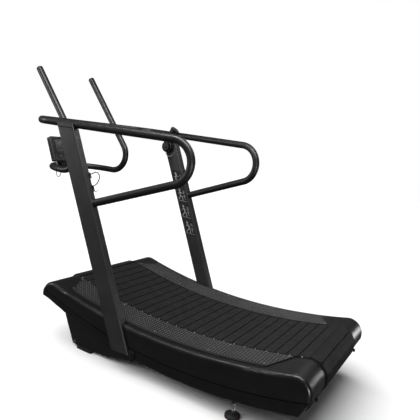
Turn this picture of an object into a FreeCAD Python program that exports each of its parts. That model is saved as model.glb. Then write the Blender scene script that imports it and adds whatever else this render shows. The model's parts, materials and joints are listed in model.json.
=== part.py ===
import FreeCAD, Part
import math
import os

# Curved manual treadmill, millimetres. +X points to the rear (the runner's back), +Y to the runner's
# right, +Z up. The floor is z = 0. Shapes are laid out from the middle of the deck, and DECK_X moves
# them so that the origin is under the middle of the whole machine.
os.makedirs("parts", exist_ok=True)

DECK_X = 206.0

# Walking surface and slat loop
TREAD_LOW = 229.0           # lowest point of the walking surface
TREAD_R = 2800.0            # radius of the concave walking surface
ROLLER_X = 668.0            # roller axles, ahead of and behind the deck's middle
WRAP_R = 76.0               # slat surface radius round a roller
RETURN_LOW = 98.0           # lowest point of the returning slats
SLAT_COUNT = 60
SLAT_HALF_Y = 230.0
SLAT_T = 13.0
SLAT_GAP = 3.6
SLAT_RELIEF = (6.0, 4.0)    # depth and width cut from a slat's lower edges, so slats clear on a roller
RIB_W = 8.0
RIB_H = 12.0
BELT_T = 5.0
BELT_GAP = 0.15             # room for the flat slats on the curved belt
BELT_Y = 190.0
BELT_W = 30.0

# Side covers, skirts and plates
DECK_HALF_Y = 422.0
INNER_Y = 238.0
COVER_DROP = 5.0
COVER_T = 3.5
COVER_ROUND = 18.0
GROOVE_X = 80.0
GROOVE_LOW = 124.0
GROOVE_R = 2500.0
GROOVE_GAP = 4.0
SKIRT_BOTTOM = ((-684.0, 204.0), (100.0, 70.0), (700.0, 139.0))
SKIRT_DEPTH = 75.0
SKIRT_T = 3.0
SKIRT_ROUND = 14.0
SKIRT_INNER_Y = DECK_HALF_Y - SKIRT_DEPTH
COVER_SEAM = 1.5            # gap between the front cover and the side cover
NOTCH_GAP = 6.0             # clearance of the covers round an upright
PLATE_INSET = 26.0
PLATE_T = 6.0

# Pads over the covers
PAD_T = 4.0
SCREW_R = 3.0
SCREW_HOLE_R = 3.1
SCREW_SEAT = 0.05
PAD_DROP = 0.8              # the pads' top lies this far below the walking surface
PAD_INNER_Y = 237.0
PAD_OUTER_Y = 388.0
PAD_INNER_X = (-645.0, 600.0)
PAD_OUTER_X = (-556.0, 528.0)
PAD_SCREWS = ((-624.0, 256.0), (-572.0, 366.0), (-330.0, 366.0), (-40.0, 366.0), (250.0, 366.0),
              (512.0, 366.0), (578.0, 256.0), (300.0, 256.0), (-320.0, 256.0))

# Cross bars from the side plates outwards: x, z, width, reach in y
OUTRIGGERS = ((-420.0, 178.0, 50.0, 417.0), (-170.0, 148.0, 60.0, 417.0), (415.0, 158.0, 50.0, 417.0))
OUTRIGGER_H = 44.0

# Uprights
UPRIGHT_LEAN = 0.461        # forward travel per unit of height
UPRIGHT_SPLAY = 0.013       # outward travel per unit of height
UPRIGHT_TOE = math.radians(5.2)
UPRIGHT_X = 98.0            # level section, front to rear
UPRIGHT_Y = 44.0
UPRIGHT_WALL = 3.0
UPRIGHT_ROUND = 7.0
UPRIGHT_REF = (-501.5, 451.4, 700.0)    # outer front edge
UPRIGHT_BOTTOM = 101.0

# Handrail and push bar
RAIL_R = 19.0
TUBE_WALL = 2.5
RAIL_Z = 1121.0
RAIL_FRONT_X = -870.0
RAIL_FRONT_Y = 459.9
RAIL_TOE = 0.137
RAIL_CORNER_R = 100.0
LOOP_X = 25.5
LOOP_R = 104.0
LOOP_LOW_Z = 944.6
RAIL_FOOT = (-436.0, 421.0, 765.0)
RAIL_SPLIT_X = -735.0
PUSH_R = 18.0
PUSH_Y = 204.0
PUSH_TIP = (-1140.5, 1395.0)
PUSH_LOW_Z = 855.0
PUSH_LEAN = 0.846
PUSH_BEND_R = 98.6
PUSH_ARC_R = 200.0
PUSH_ARC_X = -1099.6

# Console
CONSOLE_FOOT = (-1056.0, 0.0, 886.0)
CONSOLE_TILT = 24.0
CONSOLE_W = 230.0
CONSOLE_H = 148.0
CONSOLE_T = 30.0
BUTTON_R = 9.0
BUTTON_ROWS = (-66.0, -22.0, 22.0, 66.0)
BUTTON_Z = 26.0

# Resistance lever, brake and rollers
LEVER_HUB = (-630.0, 393.0, 1043.0)
LEVER_ANGLE = 19.0
LEVER_L = 114.0
HUB_R = 35.0
SHAFT_R = 12.5
DRUM_R = 57.7
DISC_R = 56.0
DISC_Y = (285.0, 291.0)
YOKE_PIN = (-585.0, 228.0)
GUIDE_X = (-280.0, 0.0, 280.0)
GUIDE_R = 15.0
RUNNING_GAP = 0.05

# Ground contact
STAND_OUTLINE = ((-592.0, 150.0), (-521.0, 12.0), (-392.0, 12.0), (-287.0, 18.0), (-150.0, 52.0),
                 (-128.0, 110.0), (-592.0, 210.0))
STAND_Y = (382.0, 388.0)
PAD_FOOT_X = (-484.0, -388.0)
PAD_FOOT_Y = (368.0, 398.0)
FOOT_X = 415.0
FOOT_Y = 382.0
FOOT_R = 34.0
STUD_R = 6.0
WHEEL_AXLE = (-508.0, 25.0)
WHEEL_R = 23.0
WHEEL_Y = (354.0, 378.0)
AXLE_R = 5.0
AXLE_HEAD_T = 6.0

# Cables: outer radius and the points of each route
CABLE_R = 2.4
CONSOLE_CABLE = ((-1060.0, -106.0, 884.6), (-1046.0, -107.0, 867.0), (-1038.0, -114.0, 846.0),
                 (-1024.0, -128.0, 826.0), (-1000.0, -148.0, 812.0), (-970.0, -170.0, 806.0),
                 (-940.0, -186.0, 808.0), (-917.0, -197.0, 818.0), (-906.0, -203.0, 837.0))
SENSOR_CABLE = ((-495.5, -411.0, 893.0), (-477.0, -411.0, 899.0), (-456.0, -411.0, 912.0),
                (-436.0, -411.0, 911.0), (-425.0, -411.0, 893.0), (-431.0, -411.0, 870.0),
                (-446.0, -411.0, 850.0), (-469.5, -411.0, 837.0))
BRAKE_CABLE = ((-620.0, 420.0, 1010.0), (-252.0, 414.0, 212.0), (-310.0, 372.0, 214.0),
               (-380.0, 332.0, 222.0), (-460.0, 308.0, 230.0), (-560.0, 300.0, 234.0))


def vec(x, y, z):
    """Point in the deck's layout, moved to the machine's own frame."""
    return FreeCAD.Vector(x + DECK_X, y, z)


def export(shape, name):
    shape.exportStep("parts/%s.step" % name)


def mirrored(shape):
    """The same piece on the other side of the machine."""
    return shape.mirror(FreeCAD.Vector(0, 0, 0), FreeCAD.Vector(0, 1, 0))


def export_pair(shape, name):
    export(shape, name + "_left")
    export(mirrored(shape), name + "_right")


def both(shape):
    return [shape, mirrored(shape)]


def box(x0, x1, y0, y1, z0, z1):
    return Part.makeBox(x1 - x0, y1 - y0, z1 - z0, vec(x0, y0, z0))


def rod(x, z, y0, y1, radius):
    """Round bar along Y."""
    return Part.makeCylinder(radius, y1 - y0, vec(x, y0, z), FreeCAD.Vector(0, 1, 0))


def post(x, y, z0, z1, radius):
    """Round bar along Z."""
    return Part.makeCylinder(radius, z1 - z0, vec(x, y, z0))


def hexagon(centre, axis, radius, height):
    points = [FreeCAD.Vector(radius * math.cos(k * math.pi / 3), radius * math.sin(k * math.pi / 3), 0)
              for k in range(7)]
    nut = Part.Face(Part.makePolygon(points)).extrude(FreeCAD.Vector(0, 0, height))
    nut.Placement = FreeCAD.Placement(centre, FreeCAD.Rotation(FreeCAD.Vector(0, 0, 1), axis))
    return nut


def outline_solid(edges, y0, y1):
    """Closed outline in the XZ plane, drawn at y = 0, made solid from y0 to y1."""
    face = Part.Face(Part.Wire(edges))
    face.translate(FreeCAD.Vector(0, y0, 0))
    return face.extrude(FreeCAD.Vector(0, y1 - y0, 0))


def polygon_solid(points, y0, y1):
    closed = [vec(x, 0, z) for x, z in points]
    closed.append(closed[0])
    return outline_solid(Part.makePolygon(closed).Edges, y0, y1)


def fillet_path(points, radii):
    """Wire of straight runs joined by tangent arcs, one radius per inner point."""
    edges = []
    last = points[0]
    for index, radius in enumerate(radii, start=1):
        corner = points[index]
        back = (points[index - 1] - corner).normalize()
        ahead = (points[index + 1] - corner).normalize()
        half_turn = (math.pi - back.getAngle(ahead)) / 2
        reach = radius * math.tan(half_turn)
        start = corner + back * reach
        end = corner + ahead * reach
        centre = corner + (back + ahead).normalize() * (radius / math.cos(half_turn))
        middle = centre + (corner - centre).normalize() * radius
        if (start - last).Length > 0.01:
            edges.append(Part.LineSegment(last, start).toShape())
        edges.append(Part.Arc(start, middle, end).toShape())
        last = end
    edges.append(Part.LineSegment(last, points[-1]).toShape())
    return Part.Wire(edges)


def sweep(path, radius):
    start = path.Edges[0].Vertexes[0].Point
    direction = path.Edges[0].tangentAt(path.Edges[0].FirstParameter)
    ring = Part.Wire([Part.makeCircle(radius, start, direction)])
    return path.makePipeShell([ring], True, False)


def bent_tube(path, radius, wall):
    return sweep(path, radius).cut(sweep(path, radius - wall))


def cable(points, label):
    """Solid lead whose arcs are as large as the two runs beside each point allow."""
    points = [vec(*point) for point in points]
    radii = []
    for before, corner, after in zip(points, points[1:], points[2:]):
        half_turn = (math.pi - (before - corner).getAngle(after - corner)) / 2
        run = min((before - corner).Length, (after - corner).Length)
        radii.append(0.45 * run / math.tan(half_turn))
    path = fillet_path(points, radii)
    solid = sweep(path, CABLE_R)
    share = solid.Volume / (math.pi * CABLE_R ** 2 * path.Length)
    print(label, "length %.0f" % path.Length, "radii", ["%.0f" % radius for radius in radii],
          "volume share %.4f" % share)
    return solid


# Geometry of the slat loop: the walking surface, two roller wraps and the return, all tangent.
TREAD_CZ = TREAD_LOW + TREAD_R
TREAD_ANGLE = math.asin(ROLLER_X / (TREAD_R + WRAP_R))
ROLLER_Z = TREAD_CZ - (TREAD_R + WRAP_R) * math.cos(TREAD_ANGLE)
_drop = ROLLER_Z - RETURN_LOW
RETURN_R = (ROLLER_X ** 2 + _drop ** 2 - WRAP_R ** 2) / (2 * (_drop - WRAP_R))
RETURN_CZ = RETURN_LOW + RETURN_R
RETURN_ANGLE = math.asin(ROLLER_X / (RETURN_R - WRAP_R))
TOP_LENGTH = 2 * TREAD_R * TREAD_ANGLE
RETURN_LENGTH = 2 * RETURN_R * RETURN_ANGLE
WRAP_SWEEP = math.pi + TREAD_ANGLE - RETURN_ANGLE
WRAP_LENGTH = WRAP_R * WRAP_SWEEP
SLAT_PITCH = (TOP_LENGTH + RETURN_LENGTH + 2 * WRAP_LENGTH) / SLAT_COUNT


def tread_z(x, depth=0.0):
    """Height of the walking surface at x, or of a surface `depth` below it."""
    return TREAD_CZ - math.sqrt((TREAD_R + depth) ** 2 - x ** 2)


def polar(cx, cz, radius, angle):
    return vec(cx + radius * math.cos(angle), 0, cz + radius * math.sin(angle))


def arc_edge(cx, cz, radius, start, end):
    middle = (start + end) / 2
    return Part.Arc(polar(cx, cz, radius, start), polar(cx, cz, radius, middle),
                    polar(cx, cz, radius, end)).toShape()


def loop_wire(depth):
    """Closed outline of the slat loop, `depth` inside the slats' outer surface."""
    wrap = WRAP_R - depth
    down = -math.pi / 2
    left_top = down - TREAD_ANGLE
    right_top = down + TREAD_ANGLE
    rear = arc_edge(ROLLER_X, ROLLER_Z, wrap, right_top + math.pi, down + RETURN_ANGLE)
    front = arc_edge(-ROLLER_X, ROLLER_Z, wrap, down - RETURN_ANGLE, left_top - math.pi)
    return Part.Wire([arc_edge(0, TREAD_CZ, TREAD_R + depth, left_top, right_top), rear,
                      arc_edge(0, RETURN_CZ, RETURN_R - depth, down + RETURN_ANGLE, down - RETURN_ANGLE),
                      front])


def body_solid(inset, y0, y1):
    """Side profile of the deck, shrunk by `inset`, from y0 to y1."""
    nose = WRAP_R - COVER_DROP - inset
    top = TREAD_R + COVER_DROP + inset
    down = -math.pi / 2
    rear_end = math.radians(-40)
    front_end = math.radians(193)
    bottom = [vec(x, 0, z + inset) for x, z in SKIRT_BOTTOM]
    bottom[0].x += inset
    bottom[2].x -= inset
    edges = [arc_edge(0, TREAD_CZ, top, down - TREAD_ANGLE, down + TREAD_ANGLE),
             arc_edge(ROLLER_X, ROLLER_Z, nose, math.pi / 2 + TREAD_ANGLE, rear_end),
             Part.LineSegment(polar(ROLLER_X, ROLLER_Z, nose, rear_end), bottom[2]).toShape(),
             Part.Arc(bottom[2], bottom[1], bottom[0]).toShape(),
             Part.LineSegment(bottom[0], polar(-ROLLER_X, ROLLER_Z, nose, front_end)).toShape(),
             arc_edge(-ROLLER_X, ROLLER_Z, nose, front_end, math.pi / 2 - TREAD_ANGLE)]
    return outline_solid(edges, y0, y1)


def cover_solid(inset, y0, y1, radius):
    """Side profile above the seam, shrunk by `inset`, with its outer edge rounded."""
    nose = WRAP_R - COVER_DROP - inset
    down = -math.pi / 2
    ends = ROLLER_X + nose
    corners = [vec(ends, 0, ROLLER_Z), vec(ends, 0, 60), vec(-ends, 0, 60), vec(-ends, 0, ROLLER_Z)]
    edges = [arc_edge(0, TREAD_CZ, TREAD_R + COVER_DROP + inset, down - TREAD_ANGLE, down + TREAD_ANGLE),
             arc_edge(ROLLER_X, ROLLER_Z, nose, math.pi / 2 + TREAD_ANGLE, 0)]
    edges += [Part.LineSegment(a, b).toShape() for a, b in zip(corners, corners[1:])]
    edges.append(arc_edge(-ROLLER_X, ROLLER_Z, nose, math.pi, math.pi / 2 - TREAD_ANGLE))
    solid = outline_solid(edges, y0, y1)
    outer = [edge for edge in solid.Edges if edge.BoundBox.YLength < 0.1
             and abs(edge.BoundBox.YMin - y0) < 0.1 and edge.BoundBox.ZMax > 61]
    return solid.makeFillet(radius, outer)


def groove_cylinder(gap, y0, y1):
    """Everything above the seam between the cover and the skirt."""
    return rod(GROOVE_X, GROOVE_LOW + GROOVE_R, y0, y1, GROOVE_R - gap)


def upright_corner(z, along, inward, side=-1):
    """Point of the left upright's section at height z, from its outer front edge."""
    x, y, z_ref = UPRIGHT_REF
    cosine, sine = math.cos(UPRIGHT_TOE), math.sin(UPRIGHT_TOE)
    px = x - UPRIGHT_LEAN * (z - z_ref) + along * cosine - inward * sine
    py = y + UPRIGHT_SPLAY * (z - z_ref) - along * sine - inward * cosine
    return vec(px, side * py, z)


def leaning_prism(z0, z1, front, rear, outer, inner):
    """Prism that leans with the left upright, from front to rear and outer to inner of its corner."""
    ring = [upright_corner(z0, front, outer), upright_corner(z0, rear, outer),
            upright_corner(z0, rear, inner), upright_corner(z0, front, inner)]
    ring.append(ring[0])
    lift = upright_corner(z1, 0, 0) - upright_corner(z0, 0, 0)
    return Part.Face(Part.makePolygon(ring)).extrude(lift)


def upright_prism(z0, z1, margin, depth_in):
    """The left upright's own section, grown by margin, to depth_in inside its outer face."""
    return leaning_prism(z0, z1, -margin, UPRIGHT_X + margin, -margin, depth_in)


def tilted(shape, foot, angle):
    """Turns a piece, drawn upright about the layout's zero, to lean forward at foot."""
    shape.Placement = FreeCAD.Placement(vec(*foot), FreeCAD.Rotation(FreeCAD.Vector(0, 1, 0), -angle))
    return shape


def local_box(x0, x1, y0, y1, z0, z1):
    return Part.makeBox(x1 - x0, y1 - y0, z1 - z0, FreeCAD.Vector(x0, y0, z0))


# ---- Slats, belts, rollers and guides --------------------------------------------------------------

def loop_place(s):
    """Position and outward normal angle on the slat loop at path length s, from the front top."""
    down = -math.pi / 2
    if s < TOP_LENGTH:
        angle = down - TREAD_ANGLE + s / TREAD_R
        return polar(0, TREAD_CZ, TREAD_R, angle), angle + math.pi, "top"
    s -= TOP_LENGTH
    if s < WRAP_LENGTH:
        angle = math.pi / 2 + TREAD_ANGLE - s / WRAP_R
        return polar(ROLLER_X, ROLLER_Z, WRAP_R, angle), angle, "rear"
    s -= WRAP_LENGTH
    if s < RETURN_LENGTH:
        angle = down + RETURN_ANGLE - s / RETURN_R
        return polar(0, RETURN_CZ, RETURN_R, angle), angle, "return"
    s -= RETURN_LENGTH
    angle = down - RETURN_ANGLE - s / WRAP_R
    return polar(-ROLLER_X, ROLLER_Z, WRAP_R, angle), angle, "front"


def slat_shape():
    """One slat about its own centre: rubber top at x = 0 with rounded edges, rib behind."""
    half = (SLAT_PITCH - SLAT_GAP) / 2
    depth, width = SLAT_RELIEF
    section = [(0, -half), (0, half), (depth - SLAT_T, half), (-SLAT_T, half - width),
               (-SLAT_T, width - half), (depth - SLAT_T, -half), (0, -half)]
    outline = Part.makePolygon([FreeCAD.Vector(x, -SLAT_HALF_Y, z) for x, z in section])
    plate = Part.Face(outline).extrude(FreeCAD.Vector(0, 2 * SLAT_HALF_Y, 0))
    top_edges = [edge for edge in plate.Edges
                 if all(abs(vertex.Point.x) < 0.01 for vertex in edge.Vertexes)]
    plate = plate.makeFillet(2.5, top_edges)
    rib_half = BELT_Y - BELT_W
    rib = Part.makeBox(RIB_H + 1, 2 * rib_half, RIB_W,
                       FreeCAD.Vector(-SLAT_T - RIB_H, -rib_half, -RIB_W / 2))
    return plate.fuse(rib)


def make_slats():
    runs = {"top": [], "rear": [], "return": [], "front": []}
    slat = slat_shape()
    for index in range(SLAT_COUNT):
        point, angle, run = loop_place((index + 0.5) * SLAT_PITCH)
        copy = slat.copy()
        turn = FreeCAD.Rotation(FreeCAD.Vector(0, 1, 0), -math.degrees(angle))
        copy.Placement = FreeCAD.Placement(point, turn)
        runs[run].append(copy)
    for run, slats in runs.items():
        export(Part.makeCompound(slats), "tread_slats_" + run)


def make_drive_belts():
    outer = Part.Face(loop_wire(SLAT_T + BELT_GAP))
    inner = Part.Face(loop_wire(SLAT_T + BELT_T))
    ring = outer.cut(inner)
    belt = ring.extrude(FreeCAD.Vector(0, BELT_W, 0))
    belt.translate(FreeCAD.Vector(0, -BELT_Y - BELT_W / 2, 0))
    export(Part.makeCompound(both(belt)), "drive_belts")


def roller(x, right_end):
    """Shaft with a drum wheel under each drive belt and a tube between them."""
    shaft = rod(x, ROLLER_Z, -268, right_end, SHAFT_R)
    tube = rod(x, ROLLER_Z, -BELT_Y, BELT_Y, 30)
    body = shaft.fuse(tube)
    for y in (-BELT_Y, BELT_Y):
        body = body.fuse(rod(x, ROLLER_Z, y - 18, y + 18, DRUM_R))
    return body.removeSplitter()


def make_rollers():
    export(roller(-ROLLER_X, 296), "front_roller")
    export(roller(ROLLER_X, 268), "rear_roller")
    bearings = []
    for x in (-ROLLER_X, ROLLER_X):
        block = box(x - 32, x + 32, -268, -244.5, ROLLER_Z - 30, ROLLER_Z + 30)
        block = block.makeFillet(12, [edge for edge in block.Edges if abs(edge.BoundBox.YLength) > 20])
        block = block.cut(rod(x, ROLLER_Z, -270, -243, SHAFT_R + RUNNING_GAP))
        bearings += both(block)
    export(Part.makeCompound(bearings), "roller_bearings")


def make_guides():
    bolts = []
    for number, x in enumerate(GUIDE_X, start=1):
        z = tread_z(x, SLAT_T + BELT_T + GUIDE_R + 0.3)
        ring = rod(x, z, -BELT_Y - 7, -BELT_Y + 7, GUIDE_R).cut(rod(x, z, -300, 0, 4 + RUNNING_GAP))
        export(Part.makeCompound(both(ring)), "guide_bearings_%d" % number)
        bolt = rod(x, z, -253, -BELT_Y + 12, 4).fuse(rod(x, z, -253, -246, 8))
        bolts += both(bolt)
    pin_x, pin_z = YOKE_PIN
    bolts.append(rod(pin_x, pin_z, 236, 306, 4))
    export(Part.makeCompound(bolts), "stub_bolts")


def make_brake():
    y0, y1 = DISC_Y
    disc = rod(-ROLLER_X, ROLLER_Z, y0, y1, DISC_R).fuse(rod(-ROLLER_X, ROLLER_Z, 277, y1 + 3, 20))
    export(disc.cut(rod(-ROLLER_X, ROLLER_Z, 270, 300, SHAFT_R)), "brake_disc")
    pin_x, pin_z = YOKE_PIN
    yoke = box(-630, pin_x + 12, 273, 303, pin_z - 22, pin_z + 22)
    yoke = yoke.cut(rod(-ROLLER_X, ROLLER_Z, y0 - 4, y1 + 4, DISC_R + 5))
    yoke = yoke.cut(rod(pin_x, pin_z, 260, 310, 4 + RUNNING_GAP))
    export(yoke, "magnet_carrier")


# ---- Frame -----------------------------------------------------------------------------------------

def make_side_plates():
    plate = body_solid(PLATE_INSET, -244.5, -244.5 + PLATE_T)
    for x in (-ROLLER_X, ROLLER_X):
        plate = plate.cut(rod(x, ROLLER_Z, -260, -230, SHAFT_R + 3))
    for x in GUIDE_X:
        plate = plate.cut(rod(x, tread_z(x, SLAT_T + BELT_T + GUIDE_R + 0.3), -260, -230, 4))
    pin_x, pin_z = YOKE_PIN
    export(plate, "side_plate_left")
    export(mirrored(plate).cut(rod(pin_x, pin_z, 230, 260, 4)), "side_plate_right")


def make_frame_tubes():
    tubes = []
    for x in (-420, -140, 420):
        z = (tread_z(x, 26) + RETURN_CZ - math.sqrt(RETURN_R ** 2 - x ** 2) + 26) / 2
        outer = box(x - 20, x + 20, -238.5, 238.5, z - 20, z + 20)
        tubes.append(outer.cut(box(x - 17, x + 17, -238.5, 238.5, z - 17, z + 17)))
    export(Part.makeCompound(tubes), "frame_tubes")


def outrigger(index, inset):
    """Left outrigger's bar, shrunk by `inset`, ending on the upright where it meets it."""
    x, z, width, reach = OUTRIGGERS[index]
    half = width / 2 - inset
    high = OUTRIGGER_H / 2 - inset
    bar = box(x - half, x + half, -reach, -244.5, z - high, z + high)
    return bar.cut(upright_prism(UPRIGHT_BOTTOM, 300, 0, UPRIGHT_Y))


def make_frame_brackets():
    """Outriggers from the side plates to the skirts and uprights, and the rear end plates."""
    pieces = []
    for index in range(len(OUTRIGGERS)):
        pieces += both(outrigger(index, 0).cut(outrigger(index, TUBE_WALL)))
    clamp = box(-128, -98, -429, -423, 78, 122)
    end_plate = box(700, 706, -402, -250, 160, 196).cut(box(690, 710, -330, -282, 168, 188))
    pieces += both(clamp) + both(end_plate)
    export(Part.makeCompound(pieces), "frame_brackets")


def make_fasteners():
    """Foot lock nuts, upright bolts and belt tension bolts."""
    pieces = []
    nut = hexagon(vec(FOOT_X, -FOOT_Y, 70), FreeCAD.Vector(0, 0, 1), 11, 9)
    pieces += both(nut.cut(post(FOOT_X, -FOOT_Y, 60, 90, STUD_R + RUNNING_GAP)))
    for z in (89, 111):
        pieces += both(hexagon(vec(-113, -429, z), FreeCAD.Vector(0, -1, 0), 7, 5))
    tension = Part.makeCylinder(5, 70, vec(660, -306, 178), FreeCAD.Vector(1, 0, 0))
    head = hexagon(vec(730, -306, 178), FreeCAD.Vector(1, 0, 0), 9, 7)
    pieces += both(tension.fuse(head))
    export(Part.makeCompound(pieces), "frame_fasteners")


def make_stand():
    """Side plates under the nose, their rubber feet and the wheels for moving the machine."""
    inner, outer = STAND_Y
    axle_x, axle_z = WHEEL_AXLE
    plate = polygon_solid(STAND_OUTLINE, -outer, -inner)
    plate = plate.cut(body_solid(0, -outer - 5, -inner + 5))
    plate = plate.cut(rod(axle_x, axle_z, -outer - 5, -inner + 5, AXLE_R))
    foot = box(PAD_FOOT_X[0], PAD_FOOT_X[1], -PAD_FOOT_Y[1], -PAD_FOOT_Y[0], 0, 12)
    foot = foot.makeFillet(4, [edge for edge in foot.Edges if edge.BoundBox.ZLength > 5])
    export_pair(plate, "front_stand")
    export(Part.makeCompound(both(foot)), "front_foot_pads")
    axle = rod(axle_x, axle_z, -outer - AXLE_HEAD_T, outer + AXLE_HEAD_T, AXLE_R)
    for y in (-outer - AXLE_HEAD_T, outer):
        axle = axle.fuse(rod(axle_x, axle_z, y, y + AXLE_HEAD_T, 8))
    export(axle, "transport_axle")
    wheel = rod(axle_x, axle_z, -WHEEL_Y[1], -WHEEL_Y[0], WHEEL_R)
    wheel = wheel.makeFillet(4, [edge for edge in wheel.Edges if len(edge.Vertexes) == 1])
    bore = rod(axle_x, axle_z, -WHEEL_Y[1] - 5, -WHEEL_Y[0] + 5, AXLE_R + RUNNING_GAP)
    export_pair(wheel.cut(bore), "transport_wheel")


def make_rear_feet():
    disc = post(FOOT_X, -FOOT_Y, 0, 15, FOOT_R)
    cone = Part.makeCone(FOOT_R - 5, 13, 8, vec(FOOT_X, -FOOT_Y, 15))
    stud = post(FOOT_X, -FOOT_Y, 20, 120, STUD_R)
    foot = disc.makeFillet(3, [disc.Edges[0]]).fuse(cone).fuse(stud)
    export_pair(foot, "rear_foot")


# ---- Covers, skirts and pads -----------------------------------------------------------------------

def pad_screw(x, y, radius, depth, rise):
    """Shank on the left pad, `depth` below its underside to `rise` above its top; its foot and normal."""
    z = tread_z(x, PAD_DROP)
    lean = math.atan2(x, TREAD_CZ - z)
    normal = FreeCAD.Vector(-math.sin(lean), 0, math.cos(lean))
    base = vec(x, -y, z)
    length = depth + PAD_T + rise
    return Part.makeCylinder(radius, length, base - normal * (depth + PAD_T), normal), base, normal


def make_covers():
    outer = cover_solid(0, -DECK_HALF_Y, -INNER_Y - 8, COVER_ROUND)
    inner = cover_solid(COVER_T, -DECK_HALF_Y + COVER_T, -INNER_Y, COVER_ROUND - COVER_T)
    shell = outer.cut(inner)
    lid = shell.common(groove_cylinder(GROOVE_GAP / 2, -500, -200))
    rear = UPRIGHT_X + NOTCH_GAP
    lid = lid.cut(leaning_prism(60, 360, -NOTCH_GAP, rear, -NOTCH_GAP, UPRIGHT_Y + NOTCH_GAP))
    lid = lid.cut(leaning_prism(60, 360, rear - COVER_SEAM, rear, -NOTCH_GAP, 240))
    for x, y in PAD_SCREWS:
        lid = lid.cut(pad_screw(x, y, SCREW_HOLE_R, 7, 1)[0])
    pieces = sorted(lid.Solids, key=lambda solid: solid.Volume)
    export_pair(pieces[-2], "front_cover")
    export_pair(pieces[-1], "side_cover")


def skirt_solid(inset):
    """Space below the seam, shrunk by `inset`, with its outer lower edges rounded."""
    outer_y = -DECK_HALF_Y + inset
    solid = body_solid(inset, outer_y, -SKIRT_INNER_Y)
    solid = solid.cut(groove_cylinder(-GROOVE_GAP / 2 - inset, -500, -200))
    outer = [edge for edge in solid.Edges
             if edge.BoundBox.YLength < 0.1 and abs(edge.BoundBox.YMin - outer_y) < 0.1]
    seam = max(outer, key=lambda edge: edge.CenterOfMass.z * (edge.Length > 1000))
    return solid.makeFillet(SKIRT_ROUND - inset, [edge for edge in outer if not edge.isSame(seam)])


def make_skirts():
    skirt = skirt_solid(0).cut(skirt_solid(SKIRT_T))
    skirt = skirt.cut(upright_prism(96, 360, 2, UPRIGHT_Y + 2))
    skirt = skirt.cut(post(FOOT_X, -FOOT_Y, 60, 200, STUD_R + RUNNING_GAP))
    for index in range(len(OUTRIGGERS)):
        skirt = skirt.cut(outrigger(index, -0.4))
    skirt = max(skirt.Solids, key=lambda solid: solid.Volume)
    export_pair(skirt, "side_skirt")


def make_pads():
    down = -math.pi / 2
    top, bottom = TREAD_R + PAD_DROP, TREAD_R + PAD_DROP + PAD_T
    first, last = down - 0.25, down + 0.25
    ends = [(polar(0, TREAD_CZ, top, last), polar(0, TREAD_CZ, bottom, last)),
            (polar(0, TREAD_CZ, bottom, first), polar(0, TREAD_CZ, top, first))]
    sides = [Part.LineSegment(a, b).toShape() for a, b in ends]
    sheet = outline_solid([arc_edge(0, TREAD_CZ, top, first, last), sides[0],
                           arc_edge(0, TREAD_CZ, bottom, last, first), sides[1]],
                          -PAD_OUTER_Y, -PAD_INNER_Y)
    plan = [vec(PAD_INNER_X[0], -PAD_INNER_Y, 100), vec(PAD_INNER_X[1], -PAD_INNER_Y, 100),
            vec(PAD_OUTER_X[1], -PAD_OUTER_Y, 100), vec(PAD_OUTER_X[0], -PAD_OUTER_Y, 100)]
    plan.append(plan[0])
    prism = Part.Face(Part.makePolygon(plan)).extrude(FreeCAD.Vector(0, 0, 400))
    corners = [edge for edge in prism.Edges if edge.BoundBox.ZLength > 300]
    pad = sheet.common(prism.makeFillet(14, corners))
    screws = []
    for x, y in PAD_SCREWS:
        shank, base, normal = pad_screw(x, y, SCREW_R, 6, 1)
        head = Part.makeCone(6, 4, 2.2, base + normal * SCREW_SEAT, normal)
        pad = pad.cut(pad_screw(x, y, SCREW_HOLE_R, 7, 1)[0])
        screws += both(shank.fuse(head))
    export_pair(pad, "tread_pad")
    export(Part.makeCompound(screws), "pad_screws")


# ---- Uprights, handrail and push bar ---------------------------------------------------------------

def rail_path():
    """Whole left handrail: lower run, loop, upper run, front corner and half of the crossbar."""
    upper_y = RAIL_FRONT_Y - RAIL_TOE * (LOOP_X - RAIL_FRONT_X)
    points = [vec(RAIL_FOOT[0], -RAIL_FOOT[1], RAIL_FOOT[2]), vec(LOOP_X, -upper_y, LOOP_LOW_Z),
              vec(LOOP_X, -upper_y, RAIL_Z), vec(RAIL_FRONT_X, -RAIL_FRONT_Y, RAIL_Z),
              vec(RAIL_FRONT_X, 0, RAIL_Z)]
    return fillet_path(points, [LOOP_R, LOOP_R, RAIL_CORNER_R])


def make_handrail():
    tube = bent_tube(rail_path(), RAIL_R, TUBE_WALL)
    rear_side = box(RAIL_SPLIT_X, 200, -600, 100, 500, 1300)
    front_side = box(-1200, RAIL_SPLIT_X, -600, 100, 500, 1300)
    export_pair(tube.common(rear_side), "handrail")
    front = tube.common(front_side)
    export(front.fuse(mirrored(front)).removeSplitter(), "handrail_front")


def make_uprights():
    outer = upright_prism(UPRIGHT_BOTTOM, RAIL_Z, 0, UPRIGHT_Y)
    inner = upright_prism(UPRIGHT_BOTTOM - 5, RAIL_Z + 5, -UPRIGHT_WALL, UPRIGHT_Y - UPRIGHT_WALL)
    outer = outer.makeFillet(UPRIGHT_ROUND, [edge for edge in outer.Edges if edge.Length > 500])
    inner = inner.makeFillet(UPRIGHT_ROUND - UPRIGHT_WALL,
                             [edge for edge in inner.Edges if edge.Length > 500])
    post_tube = outer.cut(inner)
    post_tube = post_tube.cut(sweep(rail_path(), RAIL_R))
    export_pair(max(post_tube.Solids, key=lambda solid: solid.Volume), "upright")


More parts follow.
